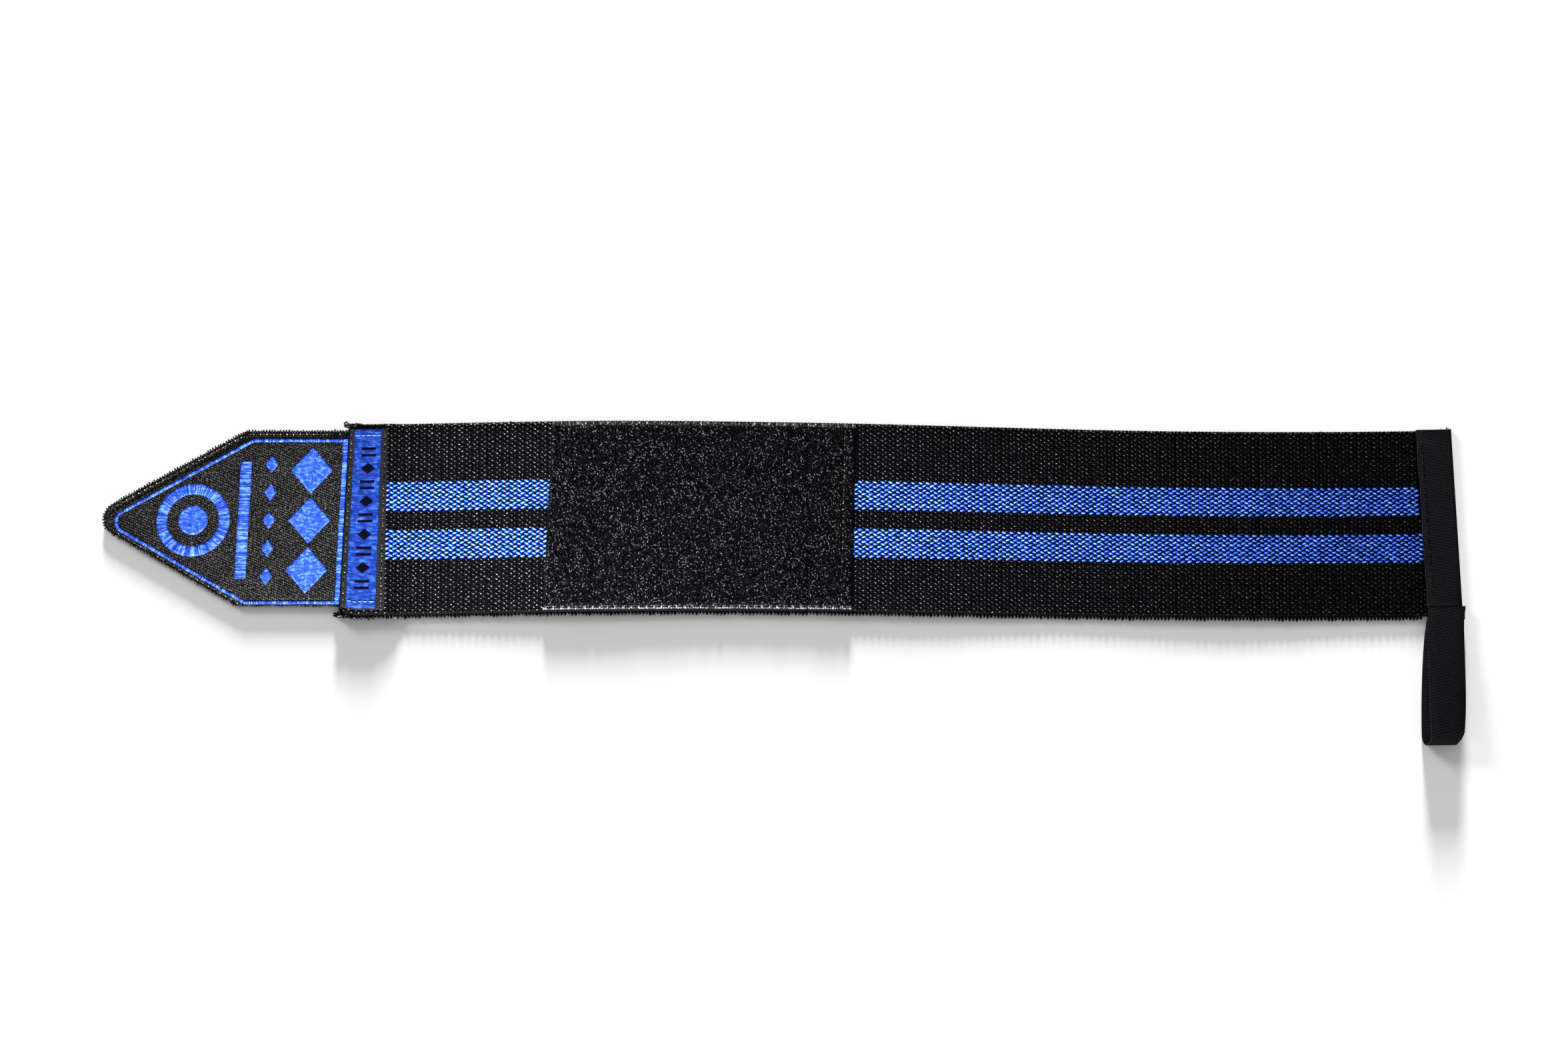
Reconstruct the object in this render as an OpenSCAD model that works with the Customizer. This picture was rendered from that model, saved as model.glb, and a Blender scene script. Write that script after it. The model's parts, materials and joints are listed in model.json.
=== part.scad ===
// Elastic hand wrap with a hook tab, a loop-pile patch and a thumb loop, lying flat.
// Millimetres, +Z up. +X runs along the band from the tab to the thumb loop, -Y is the loop's side.
// The band bends at narrow hinge gaps, all parallel to Y, whose axes lie in the band's top face.

/* [Band] */
// Length of the elastic from the tab seam to the end binding's edge
band_l = 453.4; // [430:0.2:500]
// Width of the woven body, without the picot edge
band_w = 75.2; // [70:0.2:90]
// Thickness of the elastic
band_t = 2.4; // [2:0.1:3]
// How far the picot loops stand out of the lower edge
picot_l = 2.3; // [1:0.1:3]
// Distance from one picot loop to the next
picot_pitch = 1.45; // [1.2:0.05:3]
// Width of one blue stripe
stripe_w = 11.4; // [6:0.2:14]
// Distance between the two stripes
stripe_gap = 7.8; // [4:0.2:12]
// Black margin above the upper stripe
margin_top = 23; // [16:0.2:26]
// Number of rubber threads across the band
thread_n = 24; // [8:1:30]
// Diameter of one rubber thread
thread_d = 0.8; // [0.5:0.05:1]
// How far the folded hem at the tab end reaches
hem_l = 16.4; // [12:0.2:19]

/* [Loop-pile patch] */
// Distance from the tab seam to the patch's first hinge gap
patch_x = 79.4; // [70:0.2:90]
// Length of the stretch that the patch takes up, three hinge segments long
patch_l = 132; // [90:1:140]
// Height of the patch above the band
patch_h = 2.2; // [1.5:0.1:3]
// Width of the bare woven edge along each side of the patch
selvedge_w = 1.5; // [1:0.1:3]

/* [Tab] */
// Length of the tab, from its tip to the seam
tab_l = 99; // [80:0.1:110]
// Width of the tab
tab_w = 72.4; // [50:0.1:74]
// Length of the tab's parallel part
tab_straight_l = 43.9; // [30:0.1:55]
// Radius of the tab's tip
tip_r = 7.2; // [4:0.1:12]
// Height of the hooks under the tab
hook_h = 0.9; // [0.6:0.1:1.2]
// Thickness of the hook tape's base
hook_base_t = 1; // [0.8:0.1:1.5]
// How far the twill face stays inside the hook tape's edge
twill_inset = 3; // [2:0.1:5]
// Width of the satin outline
satin_w = 1.6; // [1:0.1:3]

/* [Label and cover] */
// Width of the cover panel along the band
cover_w = 17.1; // [16.9:0.1:17.3]
// Width of the slanted label strip
label_w = 11.6; // [8:0.1:13]
// Slant of the label strip, in degrees
label_slant = 2.6; // [0:0.1:3]

/* [End binding and thumb loop] */
// Width of the binding that is folded over the band's end
binding_w = 13.6; // [10:0.1:16]
// Slant of the band's end, in degrees
end_slant = 3.4; // [0:0.1:4]
// Width of the thumb loop's tape
loop_w = 15; // [10:0.1:16]
// Thickness of the thumb loop's tape
tape_t = 1; // [0.8:0.1:1.2]
// How far the thumb loop reaches past the band's edge
loop_l = 50.5; // [40:0.5:60]
// Radius of the thumb loop's far bend
loop_r = 4.8; // [4.5:0.1:6]

/* [Hidden] */
$fn = 48;
eps = 0.01;
hinge_gap = 0.4;       // open width of each hinge gap
bevel_slope = 0.5;     // how fast the patch's ends draw back from a hinge gap
patch_n = 3;           // hinge segments under the patch
free_n = 7;            // hinge segments after the patch
free_step = 1.3;       // each of them is this much shorter than the one before
sheet_t = 0.6;         // twill, label and binding cloth
stripe_t = 0.6;        // depth of the dyed warps on each face
thread_play = 0.02;    // room around a rubber thread
stitch_w = 0.5;        // width and height of every stitch
stitch_h = 0.35;

top_y = band_w / 2;
bottom_y = -band_w / 2;
edge_y = bottom_y - picot_l;

// hinge gaps, from the tab seam to the thumb-loop end
patch_end = patch_x + patch_l;
free_l = band_l - patch_end;
first_free_l = (free_l + free_step * free_n * (free_n - 1) / 2) / free_n;
function free_x(i) = patch_end + first_free_l * i - free_step * i * (i - 1) / 2;
patch_cuts = [for (i = [0:patch_n]) patch_x + patch_l * i / patch_n];
free_cuts = [for (i = [1:free_n]) free_x(i)];
cuts = concat([0, patch_x / 2], patch_cuts, free_cuts);
segment_n = len(cuts) - 1;
patch_first = 2;       // the patch starts on this segment, counted from 0

// heights at the hemmed end
raised_z = band_t * 2;
cover_z = raised_z + sheet_t;
ramp_x = hem_l + 1.5;
ramp_l = 6;            // over this length the face comes down from the hem to the plain band
bore_start = ramp_x + ramp_l;
fold_l = 1.2;          // the hem's two layers are one over this length at the fold
fold_play = 0.1;       // and this far apart over the rest
ramp_lag = 2;          // the underside rises this much sooner than the face

// tab
twill_z = hook_h + hook_base_t;
tip_x = tip_r - tab_l;
shoulder = [-tab_straight_l, tab_w / 2];
// slope of the line from a circle at the origin to a point, touching the circle's upper side
function tangent_angle(p, r) = atan2(p.y, p.x) - asin(r / norm(p));
tab_angle = tangent_angle(shoulder - [tip_x, 0], tip_r);

// thumb loop, drawn in a plane across its tape: u runs away from the band, v is height
loop_out = 4.8;        // how far the tape stands out past the band's end
loop_x = band_l + loop_out - loop_w;
near_l = 3;            // length and height of the part beside the band
near_v = 1.2;
near_top = near_v + 2 * tape_t;
loop_u = loop_l - loop_r;

// the row's origin is at the middle of the bounding box's base
x_max = loop_x + loop_w;
y_min = edge_y - loop_l;
centre = [(x_max - tab_l) / 2, (top_y + y_min) / 2, 0];

black = [0.07, 0.07, 0.08];
soft_black = [0.11, 0.11, 0.12];
grey = [0.35, 0.35, 0.37];
blue = [0.16, 0.36, 0.75];
bright_blue = [0.1, 0.42, 0.85];
latex = [0.83, 0.76, 0.6];

function two(i) = i < 10 ? str("0", i) : str(i);
BANDS = [for (i = [1:segment_n]) str("band_", two(i))];
STRIPES = [for (i = [1:segment_n]) str("stripes_", two(i))];
THREADS = [for (i = [1:segment_n]) str("rubber_threads_", two(i))];
GROUNDS = [for (i = [1:patch_n]) str("patch_ground_", i)];
PILES = [for (i = [1:patch_n]) str("patch_pile_", i)];
PATCH_STITCHES = [for (i = [1:patch_n]) str("patch_stitches_", i)];

// ---- helpers ----

module place() { translate(-centre) children(); }

// a box from a low corner to a high corner
module span(lo, hi) { translate(lo) cube(hi - lo); }

// an outline in X and Z, drawn out along Y from y0 to y1
module across(y0, y1) { translate([0, y1, 0]) rotate([90, 0, 0]) linear_extrude(y1 - y0) children(); }

// one stitch lying on a surface at height z, centred on p and turned to angle
module stitch(p, z, angle, length) {
    translate([p.x, p.y, z]) rotate(angle) translate([-length / 2, -stitch_w / 2, 0])
        cube([length, stitch_w, stitch_h]);
}

// a row of stitches from a to b
module stitch_row(a, b, z, pitch = 3, length = 2.2) {
    run = norm(b - a);
    count = max(1, floor(run / pitch));
    angle = atan2(b.y - a.y, b.x - a.x);
    for (i = [0:count - 1]) stitch(a + (b - a) * (i + 0.5) / count, z, angle, length);
}

function segment_lo(i) = cuts[i] + hinge_gap / 2;
function segment_hi(i) = cuts[i + 1] - hinge_gap / 2;

// the strip of plane on the tab's side of the slanted band end, moved back by inset
module before_end(inset) {
    translate([band_l - inset, 0]) rotate(end_slant) translate([-150, -75]) square([150, 150]);
}

// ---- the woven band ----

// the raised and folded profile of the first segment
module hem_profile() {
    lo = segment_lo(0);
    hi = segment_hi(0);
    flap = hem_l - ramp_lag;
    flap_top = band_t - fold_play;
    polygon([
        [lo, 0], [flap, 0], [flap, flap_top], [lo + fold_l, flap_top], [lo + fold_l, band_t],
        [ramp_x - ramp_lag, band_t], [ramp_x + ramp_l - ramp_lag, 0],
        [hi, 0], [hi, band_t],
        [ramp_x + ramp_l, band_t], [ramp_x, raised_z], [lo, raised_z]]);
}

module segment_body(i) {
    if (i == 0) across(bottom_y, top_y) hem_profile();
    else if (i == segment_n - 1)
        difference() {
            linear_extrude(band_t) intersection() {
                before_end(sheet_t + eps);
                translate([segment_lo(i), bottom_y]) square([60, band_w]);
            }
            // the cloth is pressed thinner where the binding grips it
            translate([0, 0, -1]) linear_extrude(1 + sheet_t) difference() {
                translate([segment_lo(i) - 1, bottom_y - 1]) square([60, band_w + 2]);
                before_end(binding_w);
            }
        }
    else span([segment_lo(i), bottom_y, 0], [segment_hi(i), top_y, band_t]);
}

// where the dyed warps run, on both faces
module stripe_bands(lo, hi, z, t) {
    for (y = [top_y - margin_top - stripe_w, top_y - margin_top - 2 * stripe_w - stripe_gap])
        span([lo, y, z], [hi, y + stripe_w, z + t]);
}

function stripe_lo(i) = i == 0 ? bore_start : segment_lo(i);
function stripe_hi(i) = i == segment_n - 1 ? band_l - binding_w - 3 : segment_hi(i);

module stripe_solids(i) {
    stripe_bands(stripe_lo(i), stripe_hi(i), 0, stripe_t);
    stripe_bands(stripe_lo(i), stripe_hi(i), band_t - stripe_t, stripe_t);
}

module threads(i, d) {
    pitch = band_w / thread_n;
    for (k = [0:thread_n - 1])
        translate([stripe_lo(i), bottom_y + pitch * (k + 0.5), band_t / 2]) rotate([0, 90, 0])
            cylinder(d = d, h = stripe_hi(i) - stripe_lo(i), $fn = 24);
}

// the short loops along the lower edge, in the same rhythm over the whole band
picot_w = 0.9;
picot_in = 0.6;        // they are thinner than the band by this much above and below

module picots(i) {
    lo = i == 0 ? bore_start : segment_lo(i);
    hi = i == segment_n - 1 ? band_l - binding_w : segment_hi(i);
    first = ceil(lo / picot_pitch);
    last = floor((hi - 1) / picot_pitch);
    for (k = [first:last])
        span([k * picot_pitch, edge_y, picot_in],
            [k * picot_pitch + picot_w, bottom_y + eps, band_t - picot_in]);
}

module band_segment(i) {
    color(black) place() {
        difference() {
            segment_body(i);
            stripe_solids(i);
            threads(i, thread_d + 2 * thread_play);
        }
        picots(i);
    }
}

module band_stripes(i) { color(blue) place() stripe_solids(i); }

module rubber_threads(i) { color(latex) place() threads(i, thread_d); }

// ---- the loop-pile patch ----

// how far the patch's corners stand in from its first and last hinge gaps
left_in = [5.4, 1.8];      // upper and lower corner at the tab's side
right_in = [2.4, 4.2];     // upper and lower corner at the thumb loop's side

// The patch's plan: its left edge leans with the label, its right edge half as much.
module patch_plan(inset_y) {
    top = top_y - inset_y;
    polygon([[patch_x + left_in[0], top], [patch_end - right_in[0], top],
        [patch_end - right_in[1], -top], [patch_x + left_in[1], -top]]);
}

// one hinge segment's share of a layer from z0 to z1, drawn back from its hinge gaps with height
module patch_share(i, z0, z1) {
    lo = cuts[patch_first + i] + hinge_gap;
    hi = cuts[patch_first + i + 1] - hinge_gap;
    d0 = (z0 - band_t) * bevel_slope;
    d1 = (z1 - band_t) * bevel_slope;
    across(-band_w, band_w) polygon([[lo + d0, z0], [hi - d0, z0], [hi - d1, z1], [lo + d1, z1]]);
}

ground_z = band_t + 0.5;
ground_in = 0.2;           // how far the ground stays inside the band's edges
above_all = 20;            // a height past every part

module patch_ground(i) {
    color(grey) place() intersection() {
        patch_share(i, band_t, ground_z);
        linear_extrude(above_all) patch_plan(ground_in);
    }
}

module patch_pile(i) {
    color(soft_black) place() intersection() {
        patch_share(i, ground_z, band_t + patch_h);
        linear_extrude(above_all) patch_plan(ground_in + selvedge_w);
    }
}

module patch_stitches(i) {
    clear = 1.5;       // from a hinge gap or a corner to the first stitch
    lo = cuts[patch_first + i] + clear + (i == 0 ? left_in[0] : 0);
    hi = cuts[patch_first + i + 1] - clear - (i == patch_n - 1 ? right_in[1] : 0);
    rim = top_y - ground_in - selvedge_w / 2;
    color(black) place()
        for (y = [-rim, rim]) stitch_row([lo, y], [hi, y], ground_z);
}

// ---- label and cover over the hemmed end ----

module seam_cover() {
    color(soft_black) place() span([hinge_gap / 2, -tab_w / 2, raised_z], [cover_w, tab_w / 2, cover_z]);
}

label_x = 8.3;
label_half = tab_w / 2 - 0.5;

// the label's own axes: its middle at the origin, leaning with its slant
module on_label() { translate([label_x, 0, 0]) rotate(-label_slant) children(); }

// one row beside the label, leaning with it, and one along the cover's far edge
module cover_stitches() {
    beside = -label_w / 2 - 0.46;
    far = cover_w - 0.9;
    color(black) place() {
        on_label() stitch_row([beside, -label_half], [beside, label_half], cover_z, length = 2);
        stitch_row([far, -label_half], [far, label_half], cover_z, length = 2);
    }
}

module label_strip() {
    half = label_w / 2;
    color(bright_blue) place() on_label()
        span([-half, -label_half, cover_z], [half, label_half, cover_z + sheet_t]);
}

// a row across each of the label's folded ends
module label_stitches() {
    row = label_half - 2.2;
    half = label_w / 2 - 1;
    color(bright_blue) place() on_label()
        for (y = [-row, row])
            stitch_row([-half, y], [half, y], cover_z + sheet_t, pitch = 1.6, length = 1.3);
}

// ---- the tab ----

// Corners of the tab's outline, drawn in by inset. Between them it is straight.
function shoulder_in(inset) = shoulder + [inset * tan(tab_angle / 2), -inset];
function touch(inset) = (tip_r - inset) * [-sin(tab_angle), cos(tab_angle)] + [tip_x, 0];

tip_steps = 16;
function tip_angle(k) = 90 + tab_angle + (180 - 2 * tab_angle) * k / tip_steps;
function on_tip(r, a) = [tip_x, 0] + r * [cos(a), sin(a)];
function tip_arc(r) = [for (k = [0:tip_steps]) on_tip(r, tip_angle(k))];

module tab_plan(inset, seam_inset = 0) {
    end = -hinge_gap / 2 - seam_inset;
    s = shoulder_in(inset);
    polygon(concat(tip_arc(tip_r - inset), [[s.x, -s.y], [end, -s.y], [end, s.y], s]));
}

module hook_tape() {
    color(black) place() translate([0, 0, hook_h]) linear_extrude(hook_base_t) tab_plan(0);
}

hook_inset = 1.5;      // how far the hooks stay inside the tape's edge

module hook_field() {
    color(grey) place() linear_extrude(hook_h) tab_plan(hook_inset, hook_inset);
}

module tab_twill() {
    color(soft_black) place() translate([0, 0, twill_z]) linear_extrude(sheet_t) tab_plan(twill_inset);
}

outline_in = twill_inset + 0.2;
outline_seam_in = 0.4; // how far the outline stays from the seam
outline_t = 0.5;

module tab_outline() {
    color(bright_blue) place() translate([0, 0, twill_z + sheet_t]) linear_extrude(outline_t)
        difference() {
            tab_plan(outline_in, outline_seam_in);
            tab_plan(outline_in + satin_w, outline_seam_in + satin_w);
        }
}

// the embroidered pattern's parts, from the tip to the seam
emblem_t = 0.4;
ring_x = -62;          // a ring round a dot
ring_d = [30, 21.2];   // its outer and inner diameter
dot_d = 12;
bar_x = -41.5;         // a bar across the tab
bar_size = [4.6, 48];
small_x = -31;         // five small lozenges
small_half = [2.6, 3.6];
small_step = 11.5;
large_x = -14.5;       // three large ones
large_half = [8.6, 9.6];
large_step = 20.5;

module lozenge(half) {
    polygon([[-half.x, 0], [0, -half.y], [half.x, 0], [0, half.y]]);
}

module tab_emblem() {
    color(bright_blue) place() translate([0, 0, twill_z + sheet_t]) linear_extrude(emblem_t) {
        translate([ring_x, 0]) difference() {
            circle(d = ring_d[0]);
            circle(d = ring_d[1]);
        }
        translate([ring_x, 0]) circle(d = dot_d);
        translate([bar_x, 0]) square(bar_size, center = true);
        for (k = [-2:2]) translate([small_x, small_step * k]) lozenge(small_half);
        for (k = [-1:1]) translate([large_x, large_step * k]) lozenge(large_half);
    }
}

// one row around the tab, in the margin between the twill and the edge
module tab_stitches() {
    row = 1.2;
    s = shoulder_in(row);
    t = touch(row);
    color(black) place() {
        for (side = [-1, 1]) {
            stitch_row([t.x, side * t.y], [s.x, side * s.y], twill_z);
            stitch_row([s.x, side * s.y], [-2, side * s.y], twill_z);
        }
        for (a = [140, 180, 220]) stitch(on_tip(tip_r - row, a), twill_z, a - 90, 2.2);
    }
}

// ---- end binding and thumb loop ----

ends_l = 5.5;          // how far the loop's sewn ends reach in over the band
ends_y = edge_y + ends_l;
trim = 0.1;            // play at the end binding's lower end

// a sleeve of cloth folded over the band's end, whose upper side stops at the thumb loop's sewn ends
module end_binding() {
    top = band_t + sheet_t;
    color(soft_black) place() difference() {
        translate([band_l, 0, 0]) rotate(end_slant)
            span([-binding_w, edge_y + trim, 0], [0, top_y, top]);
        translate([band_l, 0, 0]) rotate(end_slant)
            span([-binding_w - 1, -band_w, sheet_t], [-sheet_t, band_w, band_t]);
        span([loop_x - binding_w, edge_y - 5, band_t - eps], [x_max + 5, ends_y, top + 1]);
        // and whose lower end is trimmed level with the picot edge
        span([loop_x - binding_w, edge_y - 5, -1], [x_max + 5, edge_y + trim, top + 1]);
    }
}

// the thumb loop's two sewn ends, one on the other
module loop_ends() {
    color(soft_black) place()
        for (k = [0, 1])
            span([loop_x, edge_y + 0.3, band_t + k * tape_t],
                [x_max - 1, ends_y - 0.1, band_t + (k + 1) * tape_t]);
}

module end_stitches() {
    y = ends_y + 0.7;
    far = top_y - 2;
    drift = (far - y) * tan(end_slant);
    color(black) place() {
        stitch_row([loop_x + 0.5, y], [x_max - 3.5, y], band_t + sheet_t);
        translate([loop_x + 1.6, 0]) stitch_row([0, y + 2.5], [-drift, far], band_t + sheet_t);
    }
}

// the far bend, from where the upper run meets it round to the lower run
bend_steps = 24;
bend_centre = [loop_u, loop_r];
function on_bend(r, t) = bend_centre + r * [cos(t), sin(t)];
function bend_from(r, a) = [for (k = [0:bend_steps]) on_bend(r, 90 + a - (180 + a) * k / bend_steps)];
function bend(r, from) = bend_from(r, tangent_angle(bend_centre - from, -r));

// the teardrop that the tape makes, seen along X
module loop_profile() {
    sewn = [hinge_gap / 2, near_v];
    joined = [near_l, near_top];             // up to here the two runs lie on each other
    fork = [near_l + 0.5, near_v + tape_t];  // where the opening starts
    floor_u = 8.1;                           // from here the lower run lies on the floor
    difference() {
        polygon(concat([sewn, [sewn.x, near_top], joined], bend(loop_r, joined),
            [[floor_u, 0], [near_l, near_v]]));
        polygon(concat([fork], bend(loop_r - tape_t, fork), [[floor_u, tape_t]]));
    }
}

module thumb_loop() {
    color(soft_black) place() translate([loop_x, edge_y, 0]) rotate([90, 0, 90]) mirror([1, 0, 0])
        linear_extrude(loop_w) loop_profile();
}

for (i = [0:segment_n - 1]) {
    band_segment(i);
    band_stripes(i);
    rubber_threads(i);
}
for (i = [0:patch_n - 1]) {
    patch_ground(i);
    patch_pile(i);
    patch_stitches(i);
}
seam_cover();
cover_stitches();
label_strip();
label_stitches();
hook_tape();
hook_field();
tab_twill();
tab_outline();
tab_emblem();
tab_stitches();
end_binding();
loop_ends();
end_stitches();
thumb_loop();
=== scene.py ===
"""An elastic hand wrap lying flat: woven striped band, hook tab, loop-pile patch, end binding and thumb loop.

Lengths are in millimetres in the wrap's own plan: x along the band from the tab seam, y across it from the woven
body's middle, z up from the table. place() turns them into the frame's metres.
"""

import json
import math

import bpy
import numpy as np
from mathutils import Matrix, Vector

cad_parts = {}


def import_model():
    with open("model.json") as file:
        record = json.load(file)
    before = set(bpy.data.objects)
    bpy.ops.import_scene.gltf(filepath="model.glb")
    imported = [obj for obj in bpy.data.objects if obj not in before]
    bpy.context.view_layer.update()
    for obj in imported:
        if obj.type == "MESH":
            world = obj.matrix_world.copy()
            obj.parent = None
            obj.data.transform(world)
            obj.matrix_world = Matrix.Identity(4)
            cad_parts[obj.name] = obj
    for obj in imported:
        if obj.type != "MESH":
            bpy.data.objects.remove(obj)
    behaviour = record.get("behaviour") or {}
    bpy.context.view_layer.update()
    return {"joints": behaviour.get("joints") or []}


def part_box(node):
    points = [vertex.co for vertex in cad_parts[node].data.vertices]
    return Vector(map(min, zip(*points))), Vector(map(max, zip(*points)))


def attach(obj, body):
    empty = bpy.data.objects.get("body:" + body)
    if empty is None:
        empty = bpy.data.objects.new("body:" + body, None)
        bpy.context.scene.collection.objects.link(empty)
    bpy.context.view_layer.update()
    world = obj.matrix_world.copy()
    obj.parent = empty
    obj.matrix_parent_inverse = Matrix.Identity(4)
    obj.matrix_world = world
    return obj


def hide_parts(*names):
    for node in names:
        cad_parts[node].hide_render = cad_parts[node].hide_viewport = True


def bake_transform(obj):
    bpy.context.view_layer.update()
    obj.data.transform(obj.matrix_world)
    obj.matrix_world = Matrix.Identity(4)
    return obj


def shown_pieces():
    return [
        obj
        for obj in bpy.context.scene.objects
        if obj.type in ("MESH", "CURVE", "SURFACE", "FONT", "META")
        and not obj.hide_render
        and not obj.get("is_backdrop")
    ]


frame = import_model()
rng = np.random.default_rng(5)

# ---- sizes, taken from the frame ----

MM = 0.001
UP = [0.0, 0.0, 1.0]
joints = {j["name"]: j for j in frame["joints"]}
seam = joints["tab_fold"]["pos_m"]
tape_lo, tape_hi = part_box("hook_tape")
ORIGIN = np.array([seam[0], (tape_lo[1] + tape_hi[1]) / 2, 0.0])


def local(point):
    """A point of the frame, in the wrap's own millimetres."""
    return (np.array(point) - ORIGIN) / MM


ROLL = ["roll"] + [f"roll_{i:02d}" for i in range(2, 11)]
HINGES = [local(joints[name]["pos_m"])[0] for name in ["neck_bend"] + ROLL]
band_lo, band_hi = (local(p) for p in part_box("band_02"))
BAND_T = band_hi[2]
TOP = band_hi[1]
EDGE = band_lo[1]
PICOT = 2.3
BOTTOM = EDGE + PICOT
BAND_W = TOP - BOTTOM
BAND_L = 453.4
END_SLANT = math.radians(3.4)
BINDING_W = 13.6
GROUND_Z = local(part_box("patch_ground_3")[1])[2]
PILE_Z = local(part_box("patch_pile_2")[1])[2]
SELVEDGE = 1.5
STRIPE_W, STRIPE_GAP, MARGIN_TOP = 11.4, 7.8, 23.0
STRIPES = [(TOP - MARGIN_TOP - STRIPE_W, TOP - MARGIN_TOP),
           (TOP - MARGIN_TOP - 2 * STRIPE_W - STRIPE_GAP, TOP - MARGIN_TOP - STRIPE_W - STRIPE_GAP)]
TAB_L, TAB_W = -local(tape_lo)[0], local(tape_hi)[1] * 2
HOOK_H, BASE_Z = (local(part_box("hook_tape")[k])[2] for k in (0, 1))
TWILL_Z = local(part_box("tab_twill")[1])[2]
COVER_W = local(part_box("seam_cover")[1])[0]
COVER_Z = local(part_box("seam_cover")[1])[2]
RAISED = 2 * BAND_T
LOOP_LO, LOOP_HI = (local(p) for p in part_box("thumb_loop"))


# ---- where a point of the plan lies ----

def bow(x):
    """The band's slight drift across its own line."""
    return np.where(x > 8, 1.8 * np.sin(2 * np.pi * (x - 8) / 500), 0.0)


def spread(x):
    """How much wider than its mean the band lies, wide at the tab and narrow at the thumb loop."""
    return 1.016 - 0.030 * np.clip((x - 107) / 230, 0, 1)


def lift(x):
    """Low, long waves that keep parts of the band off the table."""
    return 0.3 * (1 - np.cos(2 * np.pi * np.clip(x - 27, 0, 400) / 133))


def lean(x):
    """How far the tab and the hemmed end are skewed, their upper edge further along x."""
    return 0.045 * np.clip((19 - x) / 8, 0, 1)


def place(points):
    """Points of the plan, in the frame's metres."""
    x, y, z = points.T
    on_band = np.clip((x + 2) / 8, 0, 1)
    wide = 1 + (spread(x) - 1) * on_band
    below = np.minimum(y - EDGE, 0)
    slack = on_band * 1.2 * np.clip((TOP - y) / (TOP - EDGE), 0, 1) ** 2
    across = np.maximum(y, EDGE) * wide + below + bow(x) - slack
    return np.stack([x + lean(x) * y, across, z + lift(x)], 1) * MM + ORIGIN


# ---- meshes ----

class Cloth:
    """Gathers closed parts into one mesh. Every point has a place on the flat cloth, in millimetres, and a tone."""

    def __init__(self):
        self.points, self.flat, self.tones, self.faces, self.slots, self.groups = [], [], [], [], [], []
        self.count = 0

    def add(self, points, faces, slot=0, flat=None, tone=0.5, group=0):
        points = np.asarray(points, float).reshape(-1, 3)
        n = len(points)
        self.points.append(points)
        self.flat.append(points[:, :2] if flat is None else np.asarray(flat, float).reshape(-1, 2))
        self.tones.append(np.broadcast_to(np.asarray(tone, float), (n,)))
        for f in faces:
            self.add_faces(np.asarray(f, int) + self.count, slot, group)
        self.count += n

    def add_faces(self, faces, slot, group):
        self.faces.append(faces)
        self.slots.append(np.broadcast_to(np.asarray(slot, int), (len(faces),)))
        self.groups.append(np.full(len(faces), group))

    def object(self, name, materials):
        """The mesh as an object in the scene, with its tones and its two layers of flat coordinates."""
        flat = np.concatenate(self.flat)
        world = place(np.concatenate(self.points))
        loops = np.concatenate([f.ravel() for f in self.faces])
        sizes = np.concatenate([np.full(len(f), f.shape[1]) for f in self.faces])
        starts = np.concatenate([[0], np.cumsum(sizes)[:-1]])
        slots, groups = np.concatenate(self.slots), np.concatenate(self.groups)
        mesh = bpy.data.meshes.new(name)
        mesh.vertices.add(len(world))
        mesh.vertices.foreach_set("co", world.astype(np.float32).ravel())
        mesh.loops.add(len(loops))
        mesh.loops.foreach_set("vertex_index", loops.astype(np.int32))
        mesh.polygons.add(len(sizes))
        mesh.polygons.foreach_set("loop_start", starts.astype(np.int32))
        mesh.polygons.foreach_set("material_index", slots.astype(np.int32))
        mesh.update(calc_edges=True)
        mesh.polygons.foreach_set("use_smooth", np.ones(len(sizes), bool))
        tone = mesh.attributes.new("tone", "FLOAT", "POINT")
        tone.data.foreach_set("value", np.concatenate(self.tones).astype(np.float32))
        cloth = mesh.uv_layers.new(name="cloth")
        cloth.data.foreach_set("uv", (flat[loops] * 0.01).astype(np.float32).ravel())
        self.chart(mesh, flat, loops, sizes, groups)
        for material in materials:
            mesh.materials.append(material)
        piece = bpy.data.objects.new(name, mesh)
        bpy.context.scene.collection.objects.link(piece)
        return piece

    @staticmethod
    def chart(mesh, flat, loops, sizes, groups):
        """Lays the faces out for baking: a strip for each group's upper faces and one for its lower faces."""
        normals = np.zeros(len(sizes) * 3, np.float32)
        mesh.polygons.foreach_get("normal", normals)
        strip = groups * 2 + (normals.reshape(-1, 3)[:, 2] < 0)
        count = strip.max() + 1
        lo, hi = flat.min(0), flat.max(0)
        unit = (flat - lo) / np.maximum(hi - lo, 1e-6)
        at = np.stack([unit[loops, 0], (np.repeat(strip, sizes) + 0.01 + 0.98 * unit[loops, 1]) / count], 1)
        bake = mesh.uv_layers.new(name="OFBake")
        bake.data.foreach_set("uv", at.astype(np.float32).ravel())


def grid_faces(rows, columns, closed_rows=False):
    """Quads between neighbouring points of a rows by columns grid that closes on itself across its columns."""
    r = np.arange(rows if closed_rows else rows - 1)[:, None]
    c = np.arange(columns)[None]
    a = r * columns + c
    b = r * columns + (c + 1) % columns
    d = (r + 1) % rows * columns + c
    e = (r + 1) % rows * columns + (c + 1) % columns
    return np.stack([a, b, e, d], -1).reshape(-1, 4)


def unit(vectors):
    """The vectors, each a unit long."""
    return vectors / np.maximum(np.linalg.norm(vectors, axis=-1, keepdims=True), 1e-9)


def distances(path):
    """How far along its path each point lies."""
    return np.concatenate([[0], np.cumsum(np.linalg.norm(np.diff(path, axis=0), axis=1))])


def end_caps(rings, points):
    """The faces that close the first and the last of the rings, each ring with the same count of points."""
    return [np.arange(points)[::-1][None], ((rings - 1) * points + np.arange(points))[None]]


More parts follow.
